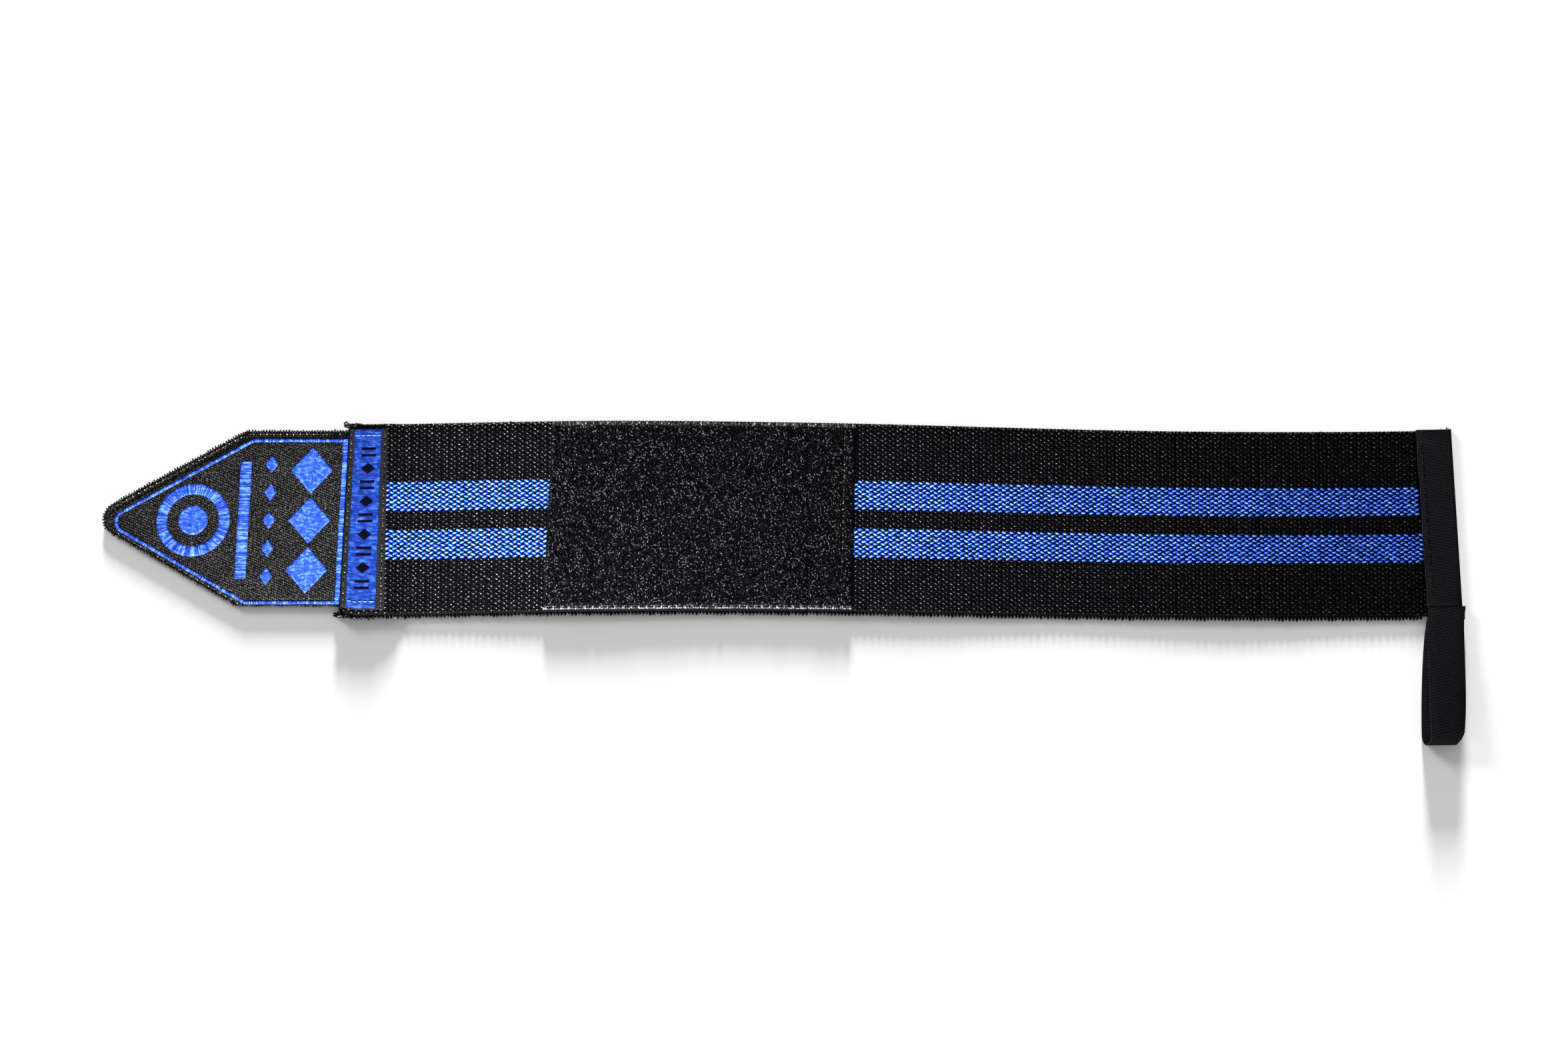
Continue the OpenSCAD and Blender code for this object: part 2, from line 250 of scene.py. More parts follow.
def repeated(faces, copies, points):
    """The faces of every copy of a part that has this many points."""
    step = (np.arange(copies) * points)[:, None, None]
    return [(np.asarray(f)[None] + step).reshape(-1, len(f[0])) for f in faces]


def sweep(cloth, rings, flat=None, slot=0, tone=0.5, closed=False):
    """A closed skin over rings, an array of (rings, points, 3). Unless it closes on itself, its ends have caps, which
    take the first material."""
    n, k = rings.shape[:2]
    start = cloth.count
    cloth.add(rings, [grid_faces(n, k, closed)], slot, flat, tone)
    if not closed:
        for cap in end_caps(n, k):
            cloth.add_faces(cap + start, 0, 0)


def tubes(cloth, paths, radius, sides=3, slot=0, tone=0.5, group=0, caps=True):
    """Round threads along paths, an array of (threads, points, 3)."""
    paths = np.asarray(paths, float)
    n, k = paths.shape[:2]
    if n == 0:
        return
    along = unit(np.gradient(paths, axis=1))
    side = np.cross(along, UP)
    spare = unit(np.cross(paths[:, -1] - paths[:, 0], UP)[:, None])  # where a thread stands nearly upright
    side = np.where(np.linalg.norm(side, axis=2, keepdims=True) > 0.2, unit(side), spare)
    side = np.where((side * spare).sum(2, keepdims=True) < 0, -side, side)
    out = np.cross(side, along)
    turn = 2 * np.pi * np.arange(sides) / sides
    r = np.broadcast_to(np.asarray(radius, float), (n,))[:, None, None, None]
    ring = (side[:, :, None] * np.cos(turn)[:, None] + out[:, :, None] * np.sin(turn)[:, None]) * r
    faces = [grid_faces(k, sides)] + (end_caps(k, sides) if caps else [])
    tones = np.repeat(np.broadcast_to(tone, (n,)), k * sides)
    cloth.add(paths[:, :, None] + ring, repeated(faces, n, k * sides), slot, None, tones, group)


# ---- materials ----

EVENLY = (1, 1, 1)
PER_MM = (100, 100, 1)
RELIEF = 0.8


def nodes_of(name):
    """A new material, its node tree and its shader."""
    material = bpy.data.materials.new(name)
    material.use_nodes = True
    tree = material.node_tree
    return material, tree, tree.nodes["Principled BSDF"]


def node(tree, kind, **settings):
    made = tree.nodes.new(kind)
    for key, value in settings.items():
        setattr(made, key, value)
    return made


def cloth_map(tree, scale=EVENLY, turn=0.0):
    """Coordinates on the flat cloth, in decimetres, stretched by scale after a turn."""
    uv = node(tree, "ShaderNodeUVMap", uv_map="cloth")
    mapping = node(tree, "ShaderNodeMapping")
    mapping.inputs["Scale"].default_value = scale
    mapping.inputs["Rotation"].default_value = (0, 0, turn)
    tree.links.new(uv.outputs["UV"], mapping.inputs["Vector"])
    return mapping.outputs["Vector"]


def noise(tree, vector, scale, detail=2.0, rough=0.5):
    """Cloudy noise from 0 to 1."""
    made = node(tree, "ShaderNodeTexNoise")
    made.inputs["Scale"].default_value = scale
    made.inputs["Detail"].default_value = detail
    made.inputs["Roughness"].default_value = rough
    tree.links.new(vector, made.inputs["Vector"])
    return made.outputs["Fac"]


def ramp(tree, value, stops):
    """A colour for the value, from stops of (value, colour)."""
    made = node(tree, "ShaderNodeValToRGB")
    elements = made.color_ramp.elements
    while len(elements) < len(stops):
        elements.new(0.5)
    for element, (at, colour) in zip(elements, stops):
        element.position = at
        element.color = (*colour, 1)
    tree.links.new(value, made.inputs["Fac"])
    return made.outputs["Color"]


def math_node(tree, operation, a, b):
    """a and b may each be a number or a socket."""
    made = node(tree, "ShaderNodeMath", operation=operation)
    for socket, value in zip(made.inputs, (a, b)):
        if isinstance(value, (int, float)):
            socket.default_value = value
        else:
            tree.links.new(value, socket)
    return made.outputs[0]


def tone_of(tree):
    """The tone that Cloth gave each point."""
    return node(tree, "ShaderNodeAttribute", attribute_name="tone").outputs["Fac"]


def spread_range(tree, value, low, high):
    """A value from 0 to 1, stretched to run from low to high."""
    made = node(tree, "ShaderNodeMapRange")
    made.inputs["To Min"].default_value = low
    made.inputs["To Max"].default_value = high
    tree.links.new(value, made.inputs["Value"])
    return made.outputs[0]


def bumped(tree, shader, height, distance):
    """Relief from a height map, distance in millimetres."""
    made = node(tree, "ShaderNodeBump")
    made.inputs["Distance"].default_value = distance * MM
    made.inputs["Strength"].default_value = RELIEF
    tree.links.new(height, made.inputs["Height"])
    tree.links.new(made.outputs["Normal"], shader.inputs["Normal"])


def blend_of(tree, first, second, shares):
    """The sum of two values, each times its share."""
    return math_node(tree, "ADD", math_node(tree, "MULTIPLY", first, shares[0]),
                     math_node(tree, "MULTIPLY", second, shares[1]))


def yarn(name, stops, rough, gloss=(0.5, 0.5), turn=0.0, along=0.6, across=3.5, depth=0.1, own=0.3):
    """Multifilament yarn: colour by tone, broken by fine streaks. along and across are streaks to the millimetre,
    own is the share of the colour that each yarn's own tone decides, and gloss goes from dark tones to light."""
    material, tree, shader = nodes_of(name)
    streaks = noise(tree, cloth_map(tree, (100 * along, 100 * across, 1), turn), 1.0, 3.0, 0.6)
    fleck = noise(tree, cloth_map(tree, PER_MM), 0.5, 2.0)
    mixed = math_node(tree, "ADD", math_node(tree, "MULTIPLY", streaks, 0.7 * (1 - own)),
                      blend_of(tree, fleck, tone_of(tree), (0.3 * (1 - own), own)))
    tree.links.new(ramp(tree, mixed, stops), shader.inputs["Base Color"])
    tree.links.new(spread_range(tree, streaks, *rough), shader.inputs["Roughness"])
    bumped(tree, shader, streaks, depth)
    tree.links.new(spread_range(tree, tone_of(tree), *gloss), shader.inputs["Specular IOR Level"])
    return material


def woven(name, stops, threads_per_mm, turn=0.0, depth=0.12, specular=0.3, twill=0.0, even=0.5):
    """A plain or twill ground: crossing ribs at a stated count, with soft flecks. even is the ribs' share."""
    material, tree, shader = nodes_of(name)
    per = 31.4 * threads_per_mm
    first = node(tree, "ShaderNodeTexWave", wave_type="BANDS", bands_direction="X")
    second = node(tree, "ShaderNodeTexWave", wave_type="BANDS", bands_direction="X")
    for wave, angle, stretch in ((first, turn, 1.0), (second, turn + math.pi / 2 - twill, 0.8)):
        tree.links.new(cloth_map(tree, turn=angle), wave.inputs["Vector"])
        wave.inputs["Scale"].default_value = per * stretch
        wave.inputs["Distortion"].default_value = 1.2
        wave.inputs["Detail"].default_value = 1.0
        wave.inputs["Detail Scale"].default_value = 3.0
    ribs = math_node(tree, "MULTIPLY", first.outputs["Fac"], second.outputs["Fac"])
    fleck = noise(tree, cloth_map(tree, PER_MM), threads_per_mm * 0.8, 3.0, 0.7)
    patches = noise(tree, cloth_map(tree), 9.0, 2.0)
    height = blend_of(tree, ribs, fleck, (1.2 * even, 1.2 * (1 - even)))
    mixed = blend_of(tree, height, patches, (0.87, 0.13))
    tree.links.new(ramp(tree, mixed, stops), shader.inputs["Base Color"])
    tree.links.new(spread_range(tree, fleck, 0.6, 0.85), shader.inputs["Roughness"])
    bumped(tree, shader, height, depth)
    shader.inputs["Specular IOR Level"].default_value = specular
    return material


# The light ends of the blue and black yarn ramps are painted highlights on the floats' crowns, and their dark ends
# painted shade where the floats dip.
BLUE_YARN = yarn("blue_yarn", [(0.14, (0.0005, 0.003, 0.1)), (0.45, (0.002, 0.03, 0.42)), (0.7, (0.05, 0.21, 0.8)),
                               (0.88, (0.6, 0.76, 1.0))], (0.2, 0.3), (0.0, 1.0), own=0.8)
BLACK_YARN = yarn("black_yarn", [(0.2, (0.0006, 0.0006, 0.001)), (0.52, (0.002, 0.002, 0.003)),
                                 (0.85, (0.05, 0.05, 0.056))], (0.18, 0.34), (0.0, 1.0), own=0.8)
BLACK_WEFT = woven("black_weft", [(0.3, (0.001, 0.001, 0.0015)), (0.7, (0.003, 0.003, 0.004))], 2.0, specular=0.03)
BLUE_WEFT = woven("blue_weft", [(0.3, (0.0005, 0.0015, 0.02)), (0.7, (0.001, 0.006, 0.1))], 2.0, specular=0.03)
# The pile yarn's light bluish-grey end is painted glints, given to the few loops whose random tone is highest.
PILE_YARN = yarn("pile_yarn", [(0.2, (0.001, 0.001, 0.002)), (0.55, (0.007, 0.007, 0.01)),
                               (0.85, (0.13, 0.13, 0.155))], (0.15, 0.3), (0.05, 0.7), own=0.7)
PILE_GROUND = woven("pile_ground", [(0.3, (0.001, 0.001, 0.001)), (0.7, (0.004, 0.004, 0.004))], 2.2, specular=0.05)
SELVEDGE_CLOTH = woven("selvedge_cloth", [(0.44, (0.005, 0.005, 0.007)), (0.53, (0.045, 0.043, 0.052)),
                                          (0.63, (0.26, 0.25, 0.29))], 1.0, depth=0.3, specular=0.1, even=0.2)
TWILL = woven("black_twill", [(0.48, (0.0005, 0.0005, 0.0005)), (0.58, (0.003, 0.003, 0.0031)),
                              (0.68, (0.065, 0.065, 0.067))], 1.3, turn=0.9, depth=0.3, twill=0.5, specular=0.05,
              even=0.2)
HOOK_TAPE = woven("hook_tape_cloth", [(0.42, (0.001, 0.001, 0.001)), (0.54, (0.004, 0.004, 0.004)),
                                      (0.67, (0.055, 0.055, 0.052))], 0.8, depth=0.3, specular=0.1, even=0.3)
BINDING = woven("binding_cloth", [(0.35, (0.005, 0.005, 0.006)), (0.5, (0.0085, 0.009, 0.0103)),
                                  (0.68, (0.018, 0.0183, 0.02))], 1.1, turn=0.6, depth=0.1, twill=0.4,
                specular=0.03)
# A lighter tape colour: along the thumb loop's edge it is a painted highlight line; it also colours the binding's
# edge line and its loose yarns.
TAPE_EDGE_AND_HIGHLIGHT = woven("tape_edge_and_highlight", [(0.35, (0.008, 0.009, 0.01)), (0.65, (0.035, 0.04, 0.041))], 2.0, specular=0.1)
SATIN = yarn("blue_satin", [(0.36, (0.001, 0.009, 0.1)), (0.5, (0.007, 0.042, 0.38)), (0.64, (0.1, 0.22, 0.85))],
             (0.4, 0.6), (0.05, 0.3), turn=1.05, along=0.45, across=1.1, depth=0.5, own=0.35)
BLACK_THREAD = yarn("black_thread", [(0.3, (0.001, 0.001, 0.001)), (0.8, (0.012, 0.012, 0.012))], (0.3, 0.45),
                    (0.0, 0.45))
MARK_THREAD = yarn("mark_thread", [(0.3, (0.0004, 0.0004, 0.002)), (0.8, (0.002, 0.002, 0.008))], (0.5, 0.7),
                   (0.0, 0.02))
KHAKI_THREAD = yarn("bobbin_thread", [(0.3, (0.14, 0.12, 0.05)), (0.7, (0.75, 0.65, 0.38))], (0.35, 0.5))
HOOKS = yarn("hook_nylon", [(0.2, (0.006, 0.006, 0.006)), (0.8, (0.03, 0.03, 0.032))], (0.25, 0.4))
LATEX = yarn("latex", [(0.2, (0.5, 0.42, 0.28)), (0.8, (0.75, 0.68, 0.5))], (0.5, 0.7))
LABEL_SATIN = yarn("label_satin_weave", [(0.34, (0.0006, 0.004, 0.05)), (0.5, (0.003, 0.018, 0.14)),
                                         (0.66, (0.035, 0.1, 0.42))], (0.5, 0.7), (0.0, 0.12), along=0.2, across=1.3,
                   depth=0.4)
SATIN_THREAD = yarn("label_thread", [(0.3, (0.03, 0.12, 0.6)), (0.8, (0.2, 0.36, 0.9))], (0.3, 0.5))


# ---- the band ----

# The woven body follows a path: it starts under the hem, turns up round the folded end, runs over the hem,
# comes down a ramp and then lies along x. s is the length along it, and equals x from the ramp's foot on.
HEM_L = 14.4
RAMP = (17.9, 23.9)
HALF_T = BAND_T / 2


def band_path():
    """Points (x, z) of the band's middle, and s at each."""
    turn = np.linspace(-math.pi / 2, math.pi / 2, 13)
    under = [(x, HALF_T) for x in np.linspace(HEM_L, 1.6, 9)[:-1]]
    fold = [(1.6 - 1.25 * math.cos(a), BAND_T + HALF_T * math.sin(a)) for a in turn]
    over = [(x, RAISED - HALF_T) for x in np.linspace(1.6, RAMP[0] - 1, 10)[1:]]
    t = np.linspace(0, 1, 9)
    down = [(RAMP[0] - 1 + 8 * u, HALF_T + BAND_T * (1 - u * u * (3 - 2 * u))) for u in t[1:]]
    points = np.array(under + fold + over + down + [(BAND_L + 10, HALF_T)])
    s = distances(points)
    return points, s + points[-1, 0] - s[-1]


PATH, PATH_S = band_path()
FOOT = RAMP[1] + 1


def on_path(s, y, h):
    """The point at s along the band and y across it, h above the cloth's middle."""
    x, z = np.interp(s, PATH_S, PATH[:, 0]), np.interp(s, PATH_S, PATH[:, 1])
    dx = np.interp(s + 0.3, PATH_S, PATH[:, 0]) - np.interp(s - 0.3, PATH_S, PATH[:, 0])
    dz = np.interp(s + 0.3, PATH_S, PATH[:, 1]) - np.interp(s - 0.3, PATH_S, PATH[:, 1])
    d = np.maximum(np.hypot(dx, dz), 1e-9)
    return np.stack([x - h * dz / d, y + 0 * x, z + h * dx / d], -1)


BOUNDS = [PATH_S[0]] + [(a + b) / 2 for a, b in zip(HINGES[:-1], HINGES[1:])] + [BAND_L - 1]
BASE_HALF = 0.72
SUNK = 0.06  # how deep the floats sit in the ground
ROWS = 78
ROW_W = BAND_W / ROWS
FLOAT_PITCH = 3.1


def end_x(y):
    """Where the slanted band end lies at y."""
    return BAND_L - 1 - (y + 1) * math.tan(END_SLANT)


def bend_over(piece):
    """Bakes the piece's placement into its mesh."""
    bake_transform(piece)


def band_ground(index):
    """The woven ground of one stretch: a closed slab with round edges, dark where the floats part."""
    cloth = Cloth()
    marks = sorted([BOTTOM + 0.5, TOP - 0.5] + [y for stripe in STRIPES for y in stripe])
    steps = [np.linspace(a, b, max(2, int((b - a) / 4)) + 1)[:-1] for a, b in zip(marks[:-1], marks[1:])]
    ys = np.concatenate(steps + [[marks[-1]]])
    ring = [(y, BASE_HALF) for y in ys] + [(TOP - 0.15, 0.5), (TOP - 0.05, 0.0), (TOP - 0.15, -0.5)]
    ring += [(y, -BASE_HALF) for y in ys[::-1]] + [(BOTTOM - 0.5, -0.5), (BOTTOM - 0.7, 0.0), (BOTTOM - 0.5, 0.5)]
    ring = np.array(ring)[::-1]
    s0, s1 = BOUNDS[index], BOUNDS[index + 1]
    n = int((s1 - s0) / 1.5) + 2
    s = np.linspace(s0, s1, n)[:, None] + 0 * ring[None, :, 0]
    if index == len(HINGES) - 1:
        s = s0 + (s - s0) * (end_x(ring[None, :, 0]) - s0) / (s1 - s0)
    y = ring[None, :, 0] + 0 * s
    h = ring[None, :, 1] + 0 * s
    pinch = 1 - 0.45 * np.clip((s - (end_x(y) - BINDING_W + 1)) / 2, 0, 1)
    points = on_path(s, y, h * pinch)
    mid = (ring[:, 0] + np.roll(ring[:, 0], -1)) / 2
    flat_side = abs(ring[:, 1]) + abs(np.roll(ring[:, 1], -1)) > 1.6
    blue = flat_side & np.any([(mid > a) & (mid < b) for a, b in STRIPES], axis=0)
    sweep(cloth, points, np.stack([s, y], -1), np.tile(blue.astype(int), n - 1))
    piece = cloth.object(f"band_ground_{index + 1:02d}", [BLACK_WEFT, BLUE_WEFT])
    return piece


def under_patch(x, y):
    """Whether the patch hides this place on the band's upper face."""
    left = patch_left(y) + 1.5
    right = patch_right(y) - 1.5
    return (x > left) & (x < right)


def patch_left(y):
    """Where the patch's slanted near end lies at y."""
    return 83.0 + (y / TOP) * 1.8


def patch_right(y):
    """Where its far end lies."""
    return 208.1 + (y / TOP) * 0.9


def under_cover(x, y):
    """Whether the seam's cover hides this place."""
    return (x < COVER_W - 1.5) & (np.abs(y) < TAB_W / 2 - 1)


GRAIN_ACROSS = 5


def make_grain():
    """One float, a unit long, wide and high: closed, with pointed ends and a round back."""
    across = np.linspace(-1, 1, GRAIN_ACROSS)
    rise = [0.0, 0.78, 1.0, 0.78, 0.0]
    points = [[-1.0, 0, 0]]
    for t, fat, tall in ((-0.66, 0.86, 0.86), (0.0, 1.0, 1.0), (0.6, 0.76, 0.74)):
        points += [[t, a * fat, h * tall] for a, h in zip(across, rise)]
    return np.array(points + [[1.0, 0, 0]]) * [0.5, 0.5, 1.0]


def crown_highlight_tones():
    """How light each point of a float is painted: a painted highlight on its crown and painted shade where it dips
    between its neighbours.
    """
    across = np.array([0.0, 0.72, 1.0, 0.72, 0.0])
    return np.concatenate([[0.0], 0.85 * across, across, 0.6 * across, [0.0]])


def grain_faces():
    """Its back, its two ends and its underside, as corner lists."""
    n = GRAIN_ACROSS
    back = [[1 + n * r + c, 1 + n * (r + 1) + c, 2 + n * (r + 1) + c, 2 + n * r + c]
            for r in range(2) for c in range(n - 1)]
    last, tip = 1 + 2 * n, 1 + 3 * n
    ends = [[0, 1 + c, 2 + c] for c in range(n - 1)] + [[tip, last + c + 1, last + c] for c in range(n - 1)]
    under = [[0, n, 2 * n, 3 * n, tip, last, 1 + n, 1]]
    return [back, ends, under]


GRAIN = make_grain()
# Painted highlight on each float's crown and painted shade at its dipping sides, as a tone for every point.
CROWN_HIGHLIGHT = crown_highlight_tones()
GRAIN_FACES = grain_faces()


def grain_shape(n, length, width, height, angle, vary):
    """n floats about their own middles, as (n, points, 3): along, across and up. vary spreads their sizes."""
    size = 1 + rng.normal(0, vary, (n, 1))
    x, y = GRAIN[:, 0] * length * size, GRAIN[:, 1] * width * np.clip(size, 0.8, 1.2)
    z = GRAIN[:, 2] * height * np.clip(1 + rng.normal(0, vary, (n, 1)), 0.6, 1.15)
    c, s = np.cos(angle)[:, None], np.sin(angle)[:, None]
    return np.stack([x * c - y * s, x * s + y * c, z], -1)


def grain_copies(n, face):
    """The faces of n floats on the band's upper face, or for face -1 its lower one."""
    made = repeated(GRAIN_FACES, n, len(GRAIN))
    return [f[:, ::-1] for f in made] if face > 0 else made


def band_floats(index):
    """The warp yarns' floats on both faces, the floats along the upper edge and the picot loops."""
    cloth = Cloth()
    last = index == len(HINGES) - 1
    s0, s1 = BOUNDS[index], BOUNDS[index + 1]
    for row in range(ROWS):
        y = TOP - (row + 0.5) * ROW_W
        first = math.ceil(s0 / FLOAT_PITCH - 0.5 * (row % 2))
        s = (np.arange(first, first + 80) + 0.5 * (row % 2)) * FLOAT_PITCH
        s = s[(s >= s0) & (s < (end_x(y) - BINDING_W + 1.5 if last else s1))]
        is_blue = any(a < y < b for a, b in STRIPES)
        way = 1 if row % 2 else -1
        for face in (1, -1):
            at = s + rng.normal(0, 0.09, len(s))
            x = np.interp(at, PATH_S, PATH[:, 0])
            if face > 0:
                over = at > PATH_S[0] + HEM_L
                keep = ~(under_patch(x, y) & over) & ~(under_cover(x, y) & over)
            else:
                keep = at > FOOT - 4
            at = at[keep]
            n = len(at)
            if n == 0:
                continue
            wide = ROW_W * (1.3 if is_blue else 1.2)
            height = (HALF_T - BASE_HALF + SUNK) * (1.0 if is_blue else 0.95)
            angle = way * rng.normal(0.30 if is_blue else 0.38, 0.09, n)
            local_points = grain_shape(n, 2.6 if is_blue else 2.3, wide, height, angle, 0.06 if is_blue else 0.1)
            ss = at[:, None] + local_points[..., 0]
            yy = y + rng.normal(0, 0.03 if is_blue else 0.05, n)[:, None] + local_points[..., 1]
            hh = face * (BASE_HALF - SUNK + local_points[..., 2])
            bright = rng.random(n)
            # Painted highlight and shade: each float's random lightness times its crown's painted highlight; the
            # black floats' narrower crown paints a small highlight dot.
            if is_blue:
                painted_crown = (0.8 + 0.2 * bright)[:, None] * CROWN_HIGHLIGHT
            else:
                painted_crown = (0.2 + 0.6 * bright)[:, None] * CROWN_HIGHLIGHT ** 2
            cloth.add(on_path(ss, yy, hh), grain_copies(n, face), int(is_blue), np.stack([ss, yy], -1),
                      painted_crown.ravel(), row % 2)
    add_edges(cloth, s0, s1, last)
    piece = cloth.object(f"band_yarns_{index + 1:02d}", [BLACK_YARN, BLUE_YARN])
    return piece


def add_edges(cloth, s0, s1, last):
    """Bumps along the upper edge, and the picot loops along the lower one."""
    stop = BAND_L - BINDING_W if last else s1
    pitch = 1.55
    s = np.arange(math.ceil(s0 / pitch), math.ceil(stop / pitch)) * pitch
    for h, shift in ((-0.45, 0.0), (0.45, 0.75)):
        at = s + shift
        paths = [on_path(at + dx, TOP + out, h + 0 * at) for dx, out in
                 ((-0.75, -0.35), (-0.35, 0.02), (0.3, 0.08), (0.8, -0.3))]
        tubes(cloth, np.stack(paths, 1), 0.36, 5, tone=rng.random(len(at)), group=1)
    pitch = 1.45
    s = np.arange(math.ceil(s0 / pitch), math.ceil(stop / pitch)) * pitch
    reach = PICOT * (1 + rng.normal(0, 0.07, len(s)))
    steps = ((-0.34, 0.12, 0.1), (-0.2, 0.55, 0.22), (0.05, 0.95, 0.1), (0.3, 0.8, -0.2), (0.36, 0.1, -0.3))
    paths = [on_path(s + dx * 1.1 + 0.25 * out, BOTTOM + 0.4 - (reach + 0.2) * out, h + 0 * s)
             for dx, out, h in steps]
    tubes(cloth, np.stack(paths, 1), 0.4, 5, tone=0.2 * rng.random(len(s)), group=1)


def rubber_threads(index):
    """The rubber warps inside one stretch."""
    cloth = Cloth()
    s0, s1 = max(BOUNDS[index], FOOT + 2), min(BOUNDS[index + 1], BAND_L - BINDING_W - 4)
    count = 24
    s = np.linspace(s0, s1, 20)
    y = BOTTOM + BAND_W / count * (np.arange(count) + 0.5)
    paths = on_path(s[None] + 0 * y[:, None], y[:, None] + 0 * s[None], 0 * s[None] + 0 * y[:, None])
    tubes(cloth, paths, 0.4, 6, tone=rng.random(count))
    piece = cloth.object(f"rubber_threads_run_{index + 1:02d}", [LATEX])
    return piece


def make_band():
    """Every stretch of the band. The last one stands for two CAD spans."""
    for index in range(len(HINGES)):
        last = index == len(HINGES) - 1
        ground, yarns, rubber = band_ground(index), band_floats(index), rubber_threads(index)
        numbers = [index + 1, index + 2] if last else [index + 1]
        for piece, stem in ((ground, "band"), (yarns, "stripes"), (rubber, "rubber_threads")):
            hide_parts(*[f"{stem}_{k:02d}" for k in numbers])
            bend_over(piece)


# ---- the loop-pile patch ----

PATCH_HALF = TOP - 0.1
SEAM_BACK = 4.3  # how far the far seam lies from the patch's end


def patch_cuts():
    """The hinges that the patch lies over, with each stretch's limits."""
    return [(i, BOUNDS[i], BOUNDS[i + 1]) for i in range(1, 5)]


def patch_span(lo, hi, y, inset=0.0):
    """The part from lo to hi that lies within the patch at y, its ends drawn in by inset."""
    return np.maximum(lo, patch_left(y) + inset), np.minimum(hi, patch_right(y) - inset)


def patch_ground(index, lo, hi):
    """The patch's woven tape: a thin slab, its outer edges slanted as the patch's are, with bare selvedges."""
    cloth = Cloth()
    rim = PATCH_HALF
    inner = rim - SELVEDGE
    ys = np.concatenate([[-rim, -rim + 0.15, -rim + SELVEDGE],
                         np.linspace(-rim + SELVEDGE + 4, rim - SELVEDGE - 4, 15), [inner, rim - 0.15, rim]])
    top = [(y, GROUND_Z + (0.12 if abs(y) > inner - 0.1 else 0.0)) for y in ys]
    ring = np.array(top + [(y, BAND_T - 0.1) for y in ys[::-1]])[::-1]
    n = max(3, int((hi - lo) / 2))
    t = np.linspace(0, 1, n)[:, None]
    a, b = patch_span(lo, hi, ring[:, 0])
    x = a[None] * (1 - t) + b[None] * t
    y = ring[None, :, 0] + 0 * x
    points = np.stack([x, y, ring[None, :, 1] + 0 * x], -1)
    mid = (ring[:, 0] + np.roll(ring[:, 0], -1)) / 2
    bare = (np.abs(mid) > inner - 0.1) & (np.abs(mid) < rim - 0.08)
    sweep(cloth, points, slot=np.tile(bare.astype(int), n - 1))
    piece = cloth.object(f"patch_tape_{index}", [PILE_GROUND, SELVEDGE_CLOTH])
    return piece


def patch_pile(index, lo, hi):
    """Curly loops standing on the tape, in loose rows, leaning every way."""
    cloth = Cloth()
    pitch = 0.7
    half = PATCH_HALF - SELVEDGE + 0.3
    x, y = np.meshgrid(np.arange(lo, hi, pitch), np.arange(-half, half, pitch))
    x, y = (v.ravel() + rng.uniform(-pitch / 2, pitch / 2, v.size) for v in (x, y))
    a, b = patch_span(lo, hi, y, 0.6)
    groove = np.abs(x - (patch_right(y) - SEAM_BACK)) < 0.5
    ragged = np.abs(y) > PATCH_HALF - SELVEDGE - 0.6 + 0.9 * rng.random(x.size)
    keep = (x > a) & (x < b) & ~groove & ~ragged
    x, y = x[keep], y[keep]
    n = len(x)
    turn = rng.uniform(0, 2 * np.pi, n)
    wide = rng.uniform(0.4, 0.8, n)
    tall = (PILE_Z - GROUND_Z) * rng.uniform(0.62, 1.0, n)
    tilt = rng.uniform(-0.7, 0.7, (n, 2))
    paths = []
    for u, h in ((-0.35, 0.0), (-0.62, 0.45), (-0.35, 0.86), (0.1, 1.0), (0.5, 0.74), (0.45, 0.2)):
        along = u * wide
        paths.append(np.stack([x + along * np.cos(turn) + tilt[:, 0] * h * 0.6,
                               y + along * np.sin(turn) + tilt[:, 1] * h * 0.6,
                               GROUND_Z - 0.15 + (tall + 0.15) * h], -1))
    # Random tone per loop, raised to a power so that few loops are light; those light loops are painted glints.
    tubes(cloth, np.stack(paths, 1), 0.125, 3, tone=rng.random(n) ** 1.9, caps=False)
    piece = cloth.object(f"patch_loops_{index}", [PILE_YARN])
    return piece


def stitch_paths(start, end, z, pitch, length):
    """Stitches from start to end on a surface at height z: each dips into the cloth at both ends."""
    rise, dip = 0.28, -0.25
    start, end = np.array(start, float), np.array(end, float)
    run = np.linalg.norm(end - start)
    count = max(1, int(run / pitch))
    along = (end - start) / run
    middles = start + (end - start) * ((np.arange(count) + 0.5) / count)[:, None]
    middles = middles + rng.normal(0, 0.05, middles.shape)
    steps = ((-0.5, dip), (-0.36, rise * 0.8), (0.0, rise), (0.36, rise * 0.8), (0.5, dip))
    paths = [np.concatenate([middles + along * length * t, np.full((count, 1), z + h)], 1) for t, h in steps]
    return np.stack(paths, 1)


def sewn_row(cloth, start, end, z, pitch=3.0, length=2.3, radius=0.24, knots=True):
    """A row of lockstitches in slot 0, with a fleck of the other thread between them in slot 1."""
    paths = stitch_paths(start, end, z, pitch, length)
    tubes(cloth, paths, radius, 5, tone=rng.random(len(paths)))
    if not knots:
        return
    ends = paths[:, -1] + (paths[:, 2] - paths[:, 0]) * 0.22
    ends[:, 2] = z - 0.08
    keep = rng.random(len(ends)) < 0.75
    bits = [ends[keep] + np.array(step) for step in ((-0.16, -0.1, -0.1), (0.0, 0.02, 0.2), (0.16, 0.1, -0.1))]
    if keep.any():
        tubes(cloth, np.stack(bits, 1), 0.18, 5, slot=1, tone=rng.random(keep.sum()))


